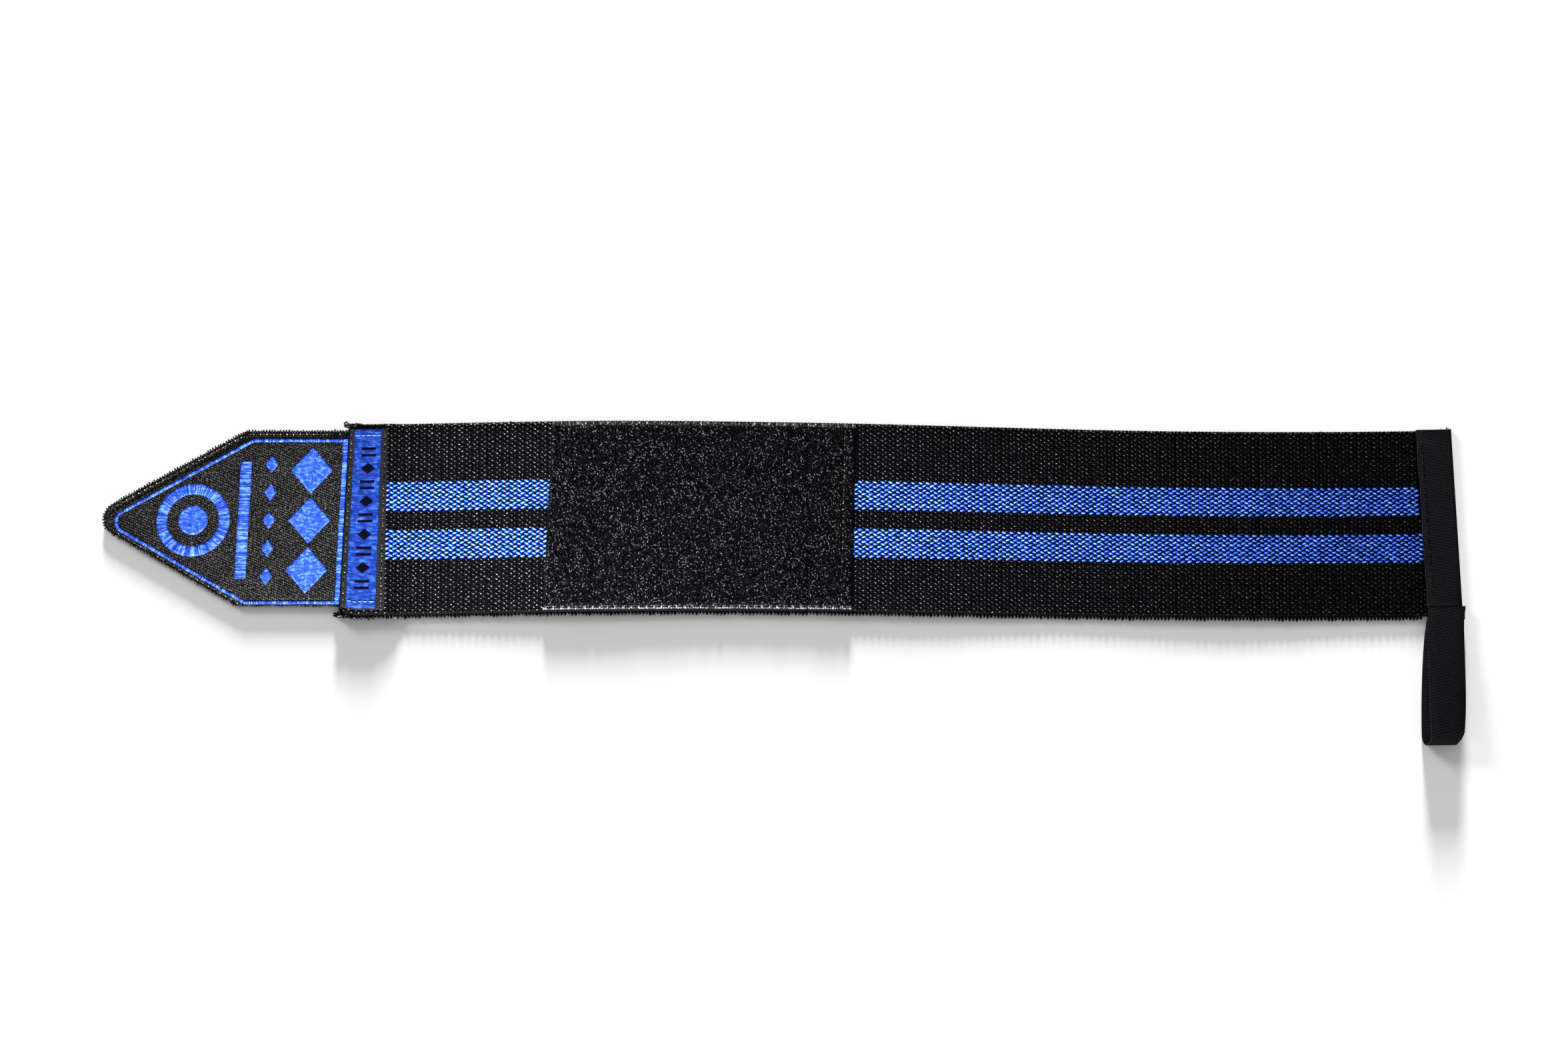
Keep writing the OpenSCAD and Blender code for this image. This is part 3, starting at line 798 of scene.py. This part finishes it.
def patch_stitching(index, lo, hi):
    """The rows along the selvedges and, on the first and last stretches, across the patch."""
    cloth = Cloth()
    rim = PATCH_HALF - SELVEDGE / 2
    for y in (-rim, rim):
        a, b = patch_span(lo, hi, np.array(y), 1.0)
        sewn_row(cloth, (a, y), (b, y), GROUND_Z + 0.1, knots=False)
    if index == 1:
        seam = [(patch_left(y) + 1.0, y) for y in (-rim, rim)]
    if index == 4:
        seam = [(patch_right(y) - SEAM_BACK, y) for y in (-rim, rim)]
    if index in (1, 4):
        sewn_row(cloth, *seam, GROUND_Z + 0.05, 2.6, 2.1)
    piece = cloth.object(f"patch_stitching_{index}", [BLACK_THREAD, KHAKI_THREAD])
    return piece


def make_patch():
    for index, lo, hi in patch_cuts():
        ground, pile, sewing = patch_ground(index, lo, hi), patch_pile(index, lo, hi), patch_stitching(index, lo, hi)
        number = min(index, 3)
        for piece, stem in ((ground, "patch_ground"), (pile, "patch_pile"), (sewing, "patch_stitches")):
            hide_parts(f"{stem}_{number}")
            bend_over(piece)


# ---- satin stitch ----

THREAD_PITCH = 0.42


def resample(path, step, closed):
    """The polyline as evenly spaced points, the direction across it, softened at its corners, and the distances."""
    path = np.array(path, float)
    if closed:
        path = np.vstack([path, path[:1]])
    s = distances(path)
    count = max(4, int(s[-1] / step))
    at = np.linspace(0, s[-1], count, endpoint=not closed)
    points = np.stack([np.interp(at, s, path[:, k]) for k in (0, 1)], 1)
    reach = 2

    def neighbour(offset):
        return np.roll(points, offset, 0) if closed else points[np.clip(np.arange(count) - offset, 0, count - 1)]

    along = unit(sum(neighbour(-k) - neighbour(k) for k in range(1, reach + 1)))
    return points, np.stack([-along[:, 1], along[:, 0]], 1), at


def satin_line(cloth, path, width, z, height=0.5, closed=True, slant=0.0, slot=0):
    """A raised bar of stitched threads lying across a path, each thread a ridge."""
    points, across, at = resample(path, THREAD_PITCH / 3, closed)
    v = np.linspace(-1, 1, 7)
    ridge = np.sin(2 * np.pi * (at[:, None] / THREAD_PITCH + slant * v[None]))
    rise = height * (0.8 * np.sqrt(1 - np.abs(v[None]) ** 3) + 0.2 * ridge * (1 - v[None] ** 4))
    ring = [np.column_stack([points + across * w * width / 2, z + rise[:, k]]) for k, w in enumerate(v)]
    ring += [np.column_stack([points + across * w * width / 2, np.full(len(at), z - 0.08)]) for w in (1, -1)]
    rings = np.stack(ring[::-1], 1)
    tones = rng.random(int(at[-1] / THREAD_PITCH) + 2)[(at / THREAD_PITCH).astype(int)]
    sweep(cloth, rings, None, slot, np.repeat(0.2 + 0.6 * tones, rings.shape[1]), closed)


def satin_fill(cloth, centre, radius_at, z, height=0.4, slot=0, steps=72):
    """A pillow of stitched threads whose edge lies radius_at(angle) from its centre."""
    angle = 2 * np.pi * np.arange(steps) / steps
    radius = np.array([radius_at(a) for a in angle])
    inward = np.array([0.0, 0.2, 0.5, 0.9, 1.4])
    middle = (1 - inward[-1] / radius[:, None]) * [[0.75, 0.45, 0.05]]
    shares = np.concatenate([1 - inward[None] / radius[:, None], middle], 1)
    rise = height * np.array([0.2, 0.62, 0.95, 1.1, 1.05, 1.0, 1.04, 1.02])
    heights = np.concatenate([[-0.08], rise])
    shares = np.concatenate([shares[:, :1], shares], 1)
    way = np.stack([np.cos(angle), np.sin(angle)], 1)
    rings = [np.column_stack([np.array(centre) + way * (radius * shares[:, k])[:, None], np.full(steps, z + h)])
             for k, h in enumerate(heights)]
    rings = np.stack(rings)
    rings[2:, :, 2] += rng.normal(0, 0.03, rings[2:, :, 2].shape)
    sweep(cloth, rings, None, slot, 0.35 + 0.3 * rng.random(rings.shape[0] * steps))


def lozenge(half_x, half_y):
    """The radius, by angle, of a lozenge."""
    return lambda a: 1 / (abs(math.cos(a)) / half_x + abs(math.sin(a)) / half_y)


# ---- the tab ----

TIP_R = 7.2
TIP_X = TIP_R - TAB_L
SHOULDER_X = -42.4
HALF_TAB = TAB_W / 2
TAB_SLOPE = (math.atan2(HALF_TAB, SHOULDER_X - TIP_X)
             - math.asin(TIP_R / math.hypot(HALF_TAB, SHOULDER_X - TIP_X)))
EMBLEM_DROP = 0.8
RING_X, RING_R, RING_W, DOT_R = -62.0, 12.8, 4.4, 6.0
BAR_X, BAR_HALF, BAR_W = -41.5, 24.0, 4.6
SMALL_X, SMALL_STEP = -31.0, 11.5
LARGE_X, LARGE_STEP = -14.5, 20.5
SATIN_Z = TWILL_Z - 0.02
SATIN_RISE = 0.42


def tab_half(x, inset):
    """Half the tab's width at x, drawn in by inset."""
    r = TIP_R - inset
    shoulder = SHOULDER_X + inset * math.tan(TAB_SLOPE / 2)
    straight = HALF_TAB - inset
    slope = straight - (shoulder - x) * math.tan(TAB_SLOPE)
    touch = TIP_X - r * math.sin(TAB_SLOPE)
    arc = math.sqrt(max(r * r - (x - TIP_X) ** 2, 0.0))
    return arc if x < touch else min(slope, straight)


def tab_path(inset, seam):
    """The tab's outline drawn in by inset, from the seam's top round the tip to the seam's foot."""
    r = TIP_R - inset
    angles = np.linspace(math.pi / 2 + TAB_SLOPE, 1.5 * math.pi - TAB_SLOPE, 17)
    shoulder = SHOULDER_X + inset * math.tan(TAB_SLOPE / 2)
    half = HALF_TAB - inset
    arc = [(TIP_X + r * math.cos(a), r * math.sin(a)) for a in angles]
    return [(seam, half), (shoulder, half), *arc, (shoulder, -half), (seam, -half)]


def tab_slab(name, inset, seam, low, high, material, drop=0.0):
    """A layer of the tab: a closed slab from height low to high."""
    cloth = Cloth()
    r = TIP_R - inset
    tip = TIP_X - r * np.cos(np.linspace(0.04, math.pi / 2, 9))
    xs = np.concatenate([tip, np.linspace(TIP_X + 1, SHOULDER_X, 24), np.linspace(SHOULDER_X + 2, seam, 30)])
    shares = np.linspace(1, -1, 25)
    rings = []
    for x in xs:
        half = tab_half(x, inset)
        edge = np.minimum((1 - np.abs(shares)) * half / 0.8, 1)
        top = high - 0.25 * (1 - edge) ** 2
        rings.append([(x, half * y - drop, z) for y, z in zip(shares, top)]
                     + [(x, half * y - drop, low) for y in shares[::-1]])
    rings = np.array(rings)
    sweep(cloth, rings)
    piece = cloth.object(name, [material])
    return piece


def fold_tab(piece):
    """Bakes the tab piece's placement into its mesh."""
    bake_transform(piece)


def tab_emblem():
    """Raised satin shapes: a ring round a dot, a bar, a row of small lozenges and three large ones."""
    cloth = Cloth()
    z = SATIN_Z
    turn = np.linspace(0, 2 * math.pi, 60, endpoint=False)
    centre = (RING_X, -EMBLEM_DROP)
    satin_line(cloth, [(centre[0] + RING_R * math.cos(a), centre[1] + RING_R * math.sin(a)) for a in turn],
               RING_W, z, SATIN_RISE, slant=0.3)
    satin_fill(cloth, centre, lambda a: DOT_R, z, SATIN_RISE)
    satin_line(cloth, [(BAR_X, BAR_HALF - EMBLEM_DROP), (BAR_X, -BAR_HALF - EMBLEM_DROP)], BAR_W, z, SATIN_RISE,
               closed=False, slant=0.3)
    for k in range(-2, 3):
        satin_fill(cloth, (SMALL_X, SMALL_STEP * k - EMBLEM_DROP), lozenge(2.6, 3.6), z, 0.38, steps=24)
    for k in range(-1, 2):
        satin_fill(cloth, (LARGE_X, LARGE_STEP * k - EMBLEM_DROP), lozenge(8.6, 9.6), z, SATIN_RISE)
    piece = cloth.object("tab_satin_shapes", [SATIN])
    return piece


def tab_outline():
    """The satin outline: a thin cord round the tip and a wider bar along the seam, sewn a little off the middle."""
    cloth = Cloth()
    inset, right, along, down = 2.9, -1.3, 2.6, 1.3
    z = SATIN_Z
    path = [(x + along, y - down) for x, y in tab_path(inset, right - along)]
    satin_line(cloth, path, 1.3, z, 0.5, closed=False, slant=0.3)
    half = HALF_TAB - inset + 0.5
    satin_line(cloth, [(right, half - down), (right, -half - down)], 2.1, z, 0.5, closed=False, slant=0.9)
    piece = cloth.object("tab_satin_outline", [SATIN])
    return piece


def tab_sewing():
    """The row of lockstitches round the tab, and the tape's knobbly rim outside it."""
    cloth = Cloth()
    path = tab_path(1.55, -1.2)
    for a, b in zip(path[:-1], path[1:]):
        sewn_row(cloth, a, b, BASE_Z + 0.02, pitch=2.7, length=2.1, radius=0.27)
    points, across, at = resample(tab_path(0.5, -0.4), 1.15, False)
    side = 0.42 * rng.random(len(at))[:, None]
    ends = [points + across * (side - 0.3 + out) for out in (-0.5, 0.0, 0.55)]
    z = BASE_Z + np.array([-0.05, 0.22, -0.1])[:, None] + 0 * at[None]
    bumps = np.stack([np.column_stack([e + rng.normal(0, 0.12, e.shape), h]) for e, h in zip(ends, z)], 1)
    tubes(cloth, bumps, 0.36, 5, tone=rng.random(len(at)), group=1)
    piece = cloth.object("tab_sewing", [BLACK_THREAD, KHAKI_THREAD])
    return piece


def hooks():
    """Rows of small nylon hooks on the tab's underside, each a stem that curls over to the side."""
    cloth = Cloth()
    pitch = 1.5
    x, y = np.meshgrid(np.arange(-TAB_L + 3, -2.5, pitch), np.arange(-HALF_TAB, HALF_TAB, pitch))
    x, y = x.ravel() + 0.75 * (np.round(y.ravel() / pitch) % 2), y.ravel()
    inside = np.array([abs(b) < tab_half(a, 2.0) - 0.3 for a, b in zip(x, y)]) & (x < -2.2)
    x, y = x[inside], y[inside]
    way = np.where(np.round(y / pitch) % 2 > 0, 1, -1)
    steps = ((0.0, 0.05), (0.0, -0.45), (0.12, -0.72), (0.34, -0.74), (0.42, -0.52))
    paths = np.stack([np.column_stack([x, y + way * dy, HOOK_H + dz + 0 * x]) for dy, dz in steps], 1)
    tubes(cloth, paths, 0.12, 3, tone=rng.random(len(x)))
    piece = cloth.object("tab_hooks", [HOOKS])
    return piece


def make_tab():
    tape = tab_slab("tab_tape", 0.25, -0.2, HOOK_H, BASE_Z, HOOK_TAPE)
    twill = tab_slab("tab_cloth", 2.2, -0.3, BASE_Z - 0.02, TWILL_Z, TWILL, EMBLEM_DROP)
    outline, emblem, sewing, hook_rows = tab_outline(), tab_emblem(), tab_sewing(), hooks()
    for piece, stem in ((tape, "hook_tape"), (twill, "tab_twill"), (outline, "tab_outline"), (emblem, "tab_emblem"),
                        (sewing, "tab_stitches"), (hook_rows, "hook_field")):
        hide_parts(stem)
        fold_tab(piece)


# ---- the cover and the label over the hemmed end ----

LABEL_X, LABEL_W = 8.3, 11.6
LABEL_HALF = HALF_TAB - 0.5


def soft_strip(x0, x1, half, low, high, ridge=0.0, fold=0.0):
    """Rings across a strip that runs along y: a slab with rounded sides, thicker at its folded ends."""
    ys = np.concatenate([np.linspace(half, half - 3, 7), np.linspace(half - 3.5, -half + 3.5, 60),
                         np.linspace(-half + 3, -half, 7)])
    u = np.array([0, 0.02, 0.06, 0.15, 0.35, 0.5, 0.65, 0.85, 0.94, 0.98, 1.0])
    profile = np.array([0.3, 0.75, 0.95, 1.0, 1.0, 1.0, 1.0, 1.0, 0.95, 0.75, 0.3])
    rings = []
    for y in ys:
        end = abs(y) > half - 2.6
        z = low + (high - low) * profile + (fold if end else 0.0) * profile + rng.normal(0, ridge, len(u))
        drop = 0.2 if abs(y) > half - 0.3 else 0.0
        top = [(x0 + (x1 - x0) * a, y, max(h - drop, low + 0.1)) for a, h in zip(u, z)]
        rings.append(top + [(x1, y, low), (x0, y, low)])
    return np.array(rings)


def seam_cover():
    """The dark strip over the seam between the tab and the hemmed end."""
    cloth = Cloth()
    rings = soft_strip(0.3, COVER_W, HALF_TAB, RAISED, COVER_Z, 0.03)
    sweep(cloth, rings)
    piece = cloth.object("cover_cloth", [BINDING])
    return piece


def cover_sewing():
    """Its two rows of stitches."""
    cloth = Cloth()
    for x, pitch in ((1.3, 2.7), (COVER_W - 1.3, 2.9)):
        sewn_row(cloth, (x, -LABEL_HALF), (x, LABEL_HALF), COVER_Z, pitch, 2.0, 0.25)
    piece = cloth.object("cover_sewing", [BLACK_THREAD, KHAKI_THREAD])
    return piece


def label():
    """The satin label with a generic row of dark marks woven in: bars and lozenges by turns."""
    cloth = Cloth()
    x0 = LABEL_X - LABEL_W / 2
    rings = soft_strip(x0, x0 + LABEL_W, LABEL_HALF, COVER_Z, COVER_Z + 0.6, 0.02, 0.25)
    sweep(cloth, rings, tone=0.3 + 0.4 * rng.random(rings.shape[0] * rings.shape[1]))
    z = COVER_Z + 0.62
    middle = LABEL_X + 0.4
    for k in range(-4, 5):
        y = 6.6 * k
        if k % 2:
            satin_fill(cloth, (middle, y), lozenge(2.9, 2.3), z, 0.07, 1, 24)
        else:
            for dy in (-1.3, 1.3):
                satin_line(cloth, [(middle - 3.0, y + dy), (middle + 3.0, y + dy)], 1.1, z, 0.07, False, slot=1)
    piece = cloth.object("label_satin", [LABEL_SATIN, MARK_THREAD])
    return piece


def label_sewing():
    """The stitches across the label's two folded ends."""
    cloth = Cloth()
    x0, x1 = LABEL_X - LABEL_W / 2 + 0.3, LABEL_X + LABEL_W / 2 - 0.3
    for side in (-1, 1):
        y = side * (LABEL_HALF - 2.6)
        sewn_row(cloth, (x0, y), (x1, y), COVER_Z + 0.66, 2.0, 1.7, 0.2, knots=False)
    piece = cloth.object("label_sewing", [SATIN_THREAD])
    return piece


def corner_knots():
    """The band's folded corners, where its yarns bunch up past the edge on both sides of the hem."""
    cloth = Cloth()
    for side in (1, -1):
        n = 40
        at = np.column_stack([rng.uniform(-1.6, 5.0, n), np.zeros(n), rng.uniform(0.5, 4.6, n)])
        edge = TOP if side > 0 else BOTTOM - 1.3
        at[:, 1] = edge - side * 0.3 + side * (1.2 - 0.2 * at[:, 0]) * rng.random(n)
        turn = rng.uniform(0, 2 * np.pi, n)
        bend = np.column_stack([np.cos(turn), 0.6 * np.sin(turn), 0.5 * rng.normal(0, 1, n)])
        lifted = np.array([0, side * 0.35, 0.3])
        steps = ((-0.7, 0.0), (-0.4, 0.7), (0.0, 1.0), (0.4, 0.7), (0.7, 0.0))
        tubes(cloth, np.stack([at + bend * a + lifted * b for a, b in steps], 1), 0.5, 5, tone=0.6 * rng.random(n))
    piece = cloth.object("hem_corner_yarns", [BLACK_YARN])
    return piece


def make_hem():
    cover, sewing, strip, strip_sewing = seam_cover(), cover_sewing(), label(), label_sewing()
    for piece, stem in ((cover, "seam_cover"), (sewing, "cover_stitches"), (strip, "label_strip"),
                        (strip_sewing, "label_stitches")):
        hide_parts(stem)
        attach(piece, "hem_end")
    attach(corner_knots(), "hem_end")


# ---- the end binding and the thumb loop ----

LOOP_X0, LOOP_X1 = LOOP_LO[0], LOOP_HI[0]
TAPE_T = 1.0
LOOP_Z = 3.9  # the height of the loop's upper run where it leaves the binding
END_LEAN = 0.048
SLEEVE_W = BINDING_W + 0.9
LOOP_R = LOOP_HI[2] / 2
ENDS_Y = EDGE + 5.5
LAST_TOP = BAND_T + 0.6


def slanted(rings):
    """Leans rings drawn about the straight band end so that they follow the real, slanted one."""
    rings = np.array(rings, float)
    rings[..., 0] = BAND_L + 1.5 + rings[..., 0] - rings[..., 1] * END_LEAN
    return rings


def sleeve_ring(y, puff):
    """The binding's section at y: out over the band, round its end and back underneath."""
    rise = 1.1 * np.clip((ENDS_Y + 7 - y) / 7, 0, 1) ** 2
    outer = [(-SLEEVE_W, LAST_TOP - 0.25), (-SLEEVE_W + 0.25, LAST_TOP + 0.02)]
    outer += [(-SLEEVE_W * u, LAST_TOP + rise + puff * math.sin(math.pi * (1 - u)))
              for u in (0.85, 0.65, 0.45, 0.25, 0.1)]
    mid = LAST_TOP / 2
    outer += [(-0.75 + 0.75 * math.cos(a), mid + mid * math.sin(a)) for a in np.linspace(1.2, -1.2, 7)]
    outer += [(-1.2, 0.0), (-SLEEVE_W * 0.5, 0.0), (-SLEEVE_W, 0.0)]
    inner = [(-SLEEVE_W, 0.55), (-SLEEVE_W * 0.5, 0.6), (-1.3, 0.6), (-0.8, mid), (-1.3, BAND_T),
             (-SLEEVE_W * 0.5, BAND_T), (-SLEEVE_W + 0.1, BAND_T)]
    return [(u, y, z) for u, z in outer + inner]


def wander(y):
    """How the binding's long edge strays along the band."""
    return 0.16 * np.sin(y / 5.5) + 0.1 * np.sin(y / 2.3 + 1)


def end_binding():
    """The tape folded over the band's end, with its edge and the loose yarns at its upper corner."""
    cloth = Cloth()
    ys = np.concatenate([[TOP + 0.7, TOP + 0.55], np.linspace(TOP, TOP - 6, 8), np.linspace(TOP - 8, ENDS_Y, 28)])
    rings = []
    for k, y in enumerate(ys):
        puff = 0.1 + 0.75 * math.exp(-((y - TOP + 3.4) / 2.2) ** 2) - (0.35 if k == 0 else 0.0)
        rings.append(sleeve_ring(y, puff + 0.05 * rng.normal()))
    rings = np.array(rings)
    rings[..., 0] += wander(rings[..., 1]) * (rings[..., 0] < -SLEEVE_W + 1)
    rings = slanted(rings)
    sweep(cloth, rings)
    low = slanted([[(-SLEEVE_W, y, 0.0), (-SLEEVE_W, y, 0.6), (-0.3, y, 0.6), (0.0, y, 0.0)]
                   for y in (ENDS_Y, EDGE + 0.2)])
    sweep(cloth, low)
    edge = np.linspace(TOP + 0.3, ENDS_Y, 60)
    line = slanted(np.column_stack([wander(edge) - SLEEVE_W + 0.15, edge, np.full(len(edge), LAST_TOP + 0.02)]))
    tubes(cloth, line[None], 0.2, 5, slot=1, tone=0.5)
    n = 12
    root = slanted(np.column_stack([rng.uniform(-4.5, -0.3, n), np.full(n, TOP + 0.5), rng.uniform(1.5, 2.8, n)]))
    tip = np.column_stack([rng.normal(0.1, 0.3, n), rng.uniform(0.3, 1.1, n), rng.normal(0.1, 0.2, n)])
    tubes(cloth, np.stack([root, root + tip * 0.6, root + tip], 1), 0.13, 3, slot=1)
    piece = cloth.object("end_sleeve", [BINDING, TAPE_EDGE_AND_HIGHLIGHT])
    return piece


def tape_rings(path, shift, narrow=0.0):
    """A flat tape LOOP_X0 to LOOP_X1 wide that follows path, points (y, z), each shifted along x. narrow is the
    share of its width that each point loses on the right."""
    path = np.array(path, float)
    along = unit(np.gradient(path, axis=0))
    out = np.stack([along[:, 1], -along[:, 0]], 1)
    widths = (LOOP_X1 - LOOP_X0) * (1 - np.broadcast_to(narrow, len(path)))
    u = np.array([0, 0.03, 0.3, 0.5, 0.7, 0.97, 1.0])
    thick = np.array([0.2, 0.5, 0.5, 0.5, 0.5, 0.5, 0.2]) * (TAPE_T - 0.1)
    rings = []
    for p, o, dx, width in zip(path, out, shift, widths):
        halves = [[(LOOP_X0 + dx + width * a, *(p + side * o * t)) for a, t in zip(u, thick)] for side in (1, -1)]
        rings.append(halves[0] + halves[1][::-1])
    return np.array(rings)


def sewn_y(k):
    """Where the loop's sewn ends lie, in five steps from inside the binding to the band's edge."""
    return ENDS_Y - 0.2 - k * (ENDS_Y - 0.2 - EDGE) / 5


def loop_path():
    """The thumb loop's line seen along the band: out along the upper run, round the bend and back underneath."""
    r = LOOP_R - TAPE_T / 2
    bend_y = LOOP_LO[1] + LOOP_R - 0.8
    run = np.linspace(0, 1, 16)
    sewn = [(sewn_y(k), LOOP_Z) for k in range(5)]
    upper = sewn + [(EDGE + (bend_y - EDGE) * t, LOOP_Z + (LOOP_R + r - LOOP_Z) * (t ** 1.2)) for t in run[:-1]]
    turn = np.linspace(math.pi / 2, 1.5 * math.pi, 17)
    far = [(bend_y + r * math.cos(a), LOOP_R + r * math.sin(a)) for a in turn]
    lower = [(bend_y + (EDGE - bend_y) * t, 0.5 + 2.4 * max(0, (t - 0.72) / 0.28) ** 1.5) for t in run[1:]]
    return np.array(upper + far + lower)


def make_loop():
    path = loop_path()
    s = np.linspace(0, 1, len(path))
    swing = -1.5 - 2.4 * np.sin(np.pi * np.clip((s - 0.46) / 0.54, 0, 1)) ** 0.8
    swing = np.where(s < 0.12, -0.6 - 0.9 * s / 0.12, swing)
    narrow = 0.18 * np.exp(-((s - 0.5) / 0.12) ** 2)
    rings = tape_rings(path, swing, narrow)
    cloth = Cloth()
    sweep(cloth, rings, flat_along(rings, path))
    # A painted highlight line: a thin thread of the lighter tape-edge colour along the loop's edge.
    edge = rings[:, 1] + [0.05, 0, 0.0]
    tubes(cloth, edge[None, 4:28], 0.15, 5, slot=1)
    loop = cloth.object("thumb_tape", [BINDING, TAPE_EDGE_AND_HIGHLIGHT])
    ends = Cloth()
    line = [(sewn_y(k), LOOP_Z - 1.0) for k in range(6)]
    part = tape_rings(line, np.full(6, -0.9))
    sweep(ends, part, flat_along(part, np.array(line)))
    sewn = ends.object("thumb_tape_ends", [BINDING, TAPE_EDGE_AND_HIGHLIGHT])
    for piece, stem in ((loop, "thumb_loop"), (sewn, "loop_ends")):
        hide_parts(stem)
        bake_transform(piece)


def flat_along(rings, path):
    """Each ring's place on the flat tape: across it, and how far along."""
    s = distances(path)
    return np.stack([rings[..., 0], s[:, None] + 0 * rings[..., 0]], -1)


def end_sewing():
    """The stitches that hold the loop's ends, and the row along the binding."""
    cloth = Cloth()
    y = ENDS_Y + 0.8
    sewn_row(cloth, (LOOP_X0 + 0.8, y), (LOOP_X1 - 3.4, y), LAST_TOP + 0.06, 2.4, 1.9, 0.22, knots=False)
    top = TOP - 2
    far = -(top - y - 2.5) * math.tan(END_SLANT)
    sewn_row(cloth, (LOOP_X0 + 1.2, y + 2.5), (LOOP_X0 + 1.2 + far, top), LAST_TOP + 0.02, 3.0, 2.2, 0.14, False)
    piece = cloth.object("end_sewing", [BLACK_THREAD, KHAKI_THREAD])
    return piece


def make_end():
    sleeve, sewing = end_binding(), end_sewing()
    for piece, stem in ((sleeve, "end_binding"), (sewing, "end_stitches")):
        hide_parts(stem)
        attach(piece, "span_12")


make_band()
make_patch()
make_tab()
make_hem()
make_end()
make_loop()

# ---- stage, light and camera ----

AMBIENT = 0.45

def stage():
    """The pale floor."""
    mesh = bpy.data.meshes.new("floor")
    mesh.from_pydata([(-3, -3, 0), (3, -3, 0), (3, 3, 0), (-3, 3, 0)], [], [(0, 1, 2, 3)])
    floor = bpy.data.objects.new("floor", mesh)
    bpy.context.scene.collection.objects.link(floor)
    material, _, shader = nodes_of("pale_floor")
    shader.inputs["Base Color"].default_value = (0.85, 0.85, 0.85, 1)
    shader.inputs["Roughness"].default_value = 0.9
    shader.inputs["Specular IOR Level"].default_value = 0.0
    mesh.materials.append(material)
    floor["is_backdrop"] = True
    return floor


def lit_group(name, members):
    """A collection that a light can be limited to."""
    group = bpy.data.collections.new(name)
    for member in members:
        group.objects.link(member)
    return group


def aimed(data, at, target, group):
    """Puts a light in the scene, turned towards its target."""
    made = bpy.data.objects.new(data.name, data)
    made.location = at
    made.rotation_euler = (Vector(target) - Vector(at)).to_track_quat("-Z", "Y").to_euler()
    made.light_linking.receiver_collection = group
    bpy.context.scene.collection.objects.link(made)


def lamp(name, at, target, size, power, cone, group):
    """A round studio lamp that lights only the objects of one group, brightest down the middle of its cone, which
    is in degrees. Everything casts its shadow."""
    data = bpy.data.lights.new(name, "AREA")
    data.shape = "DISK"
    data.size = size
    data.energy = power
    data.spread = math.radians(cone)
    aimed(data, at, target, group)


def far_light(name, side, height, softness, strength, group):
    """A soft far light, its side counted from the back towards the left, that lights only one group's objects.
    side, height and softness are in degrees."""
    data = bpy.data.lights.new(name, "SUN")
    data.angle = math.radians(softness)
    data.energy = strength
    turn, tilt = math.radians(side), math.radians(height)
    at = (-math.sin(turn) * math.cos(tilt), math.cos(turn) * math.cos(tilt), math.sin(tilt))
    aimed(data, at, (0, 0, 0), group)


def camera():
    """A long lens, a little off the vertical, with the whole wrap in view."""
    data = bpy.data.cameras.new("camera")
    width, distance, tilt, shift = 0.642, 1.8, math.radians(6), -0.0015
    data.sensor_width = 36
    data.lens = 36 * distance / width
    data.clip_start, data.clip_end = 0.05, 20
    target = Vector((0, ORIGIN[1] + shift, 0))
    made = bpy.data.objects.new("camera", data)
    made.location = target + Vector((0, -math.sin(tilt), math.cos(tilt))) * distance
    made.rotation_euler = (target - made.location).to_track_quat("-Z", "Y").to_euler()
    bpy.context.scene.collection.objects.link(made)
    bpy.context.scene.camera = made


def world():
    """An even white room that shiny yarn hardly mirrors, so that its highlights come from the lamps."""
    made = bpy.data.worlds.new("studio")
    made.use_nodes = True
    tree = made.node_tree
    back = tree.nodes["Background"]
    back.inputs["Color"].default_value = (1, 1, 1, 1)
    rays = tree.nodes.new("ShaderNodeLightPath")
    seen = spread_range(tree, rays.outputs["Is Camera Ray"], AMBIENT, 1.0)
    dimmed = math_node(tree, "MULTIPLY", rays.outputs["Is Glossy Ray"], AMBIENT * 0.85)
    tree.links.new(math_node(tree, "SUBTRACT", seen, dimmed), back.inputs["Strength"])
    bpy.context.scene.world = made


floor_group = lit_group("lit_floor", [stage()])
wrap_group = lit_group("lit_wrap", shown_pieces())
world()
far_light("floor_key", 0.0, 10.5, 9.0, 10.0, floor_group)
far_light("floor_side", 50.0, 24.0, 20.0, 1.7, floor_group)
lamp("wrap_key", (-0.16, -0.38, 0.30), (-0.10, 0, 0), 0.12, 3.7, 86.0, wrap_group)
lamp("wrap_fill", (-0.5, 0.35, 0.5), (-0.1, 0, 0), 0.2, 1.5, 180.0, wrap_group)
camera()
bpy.context.scene.view_settings.view_transform = "Standard"
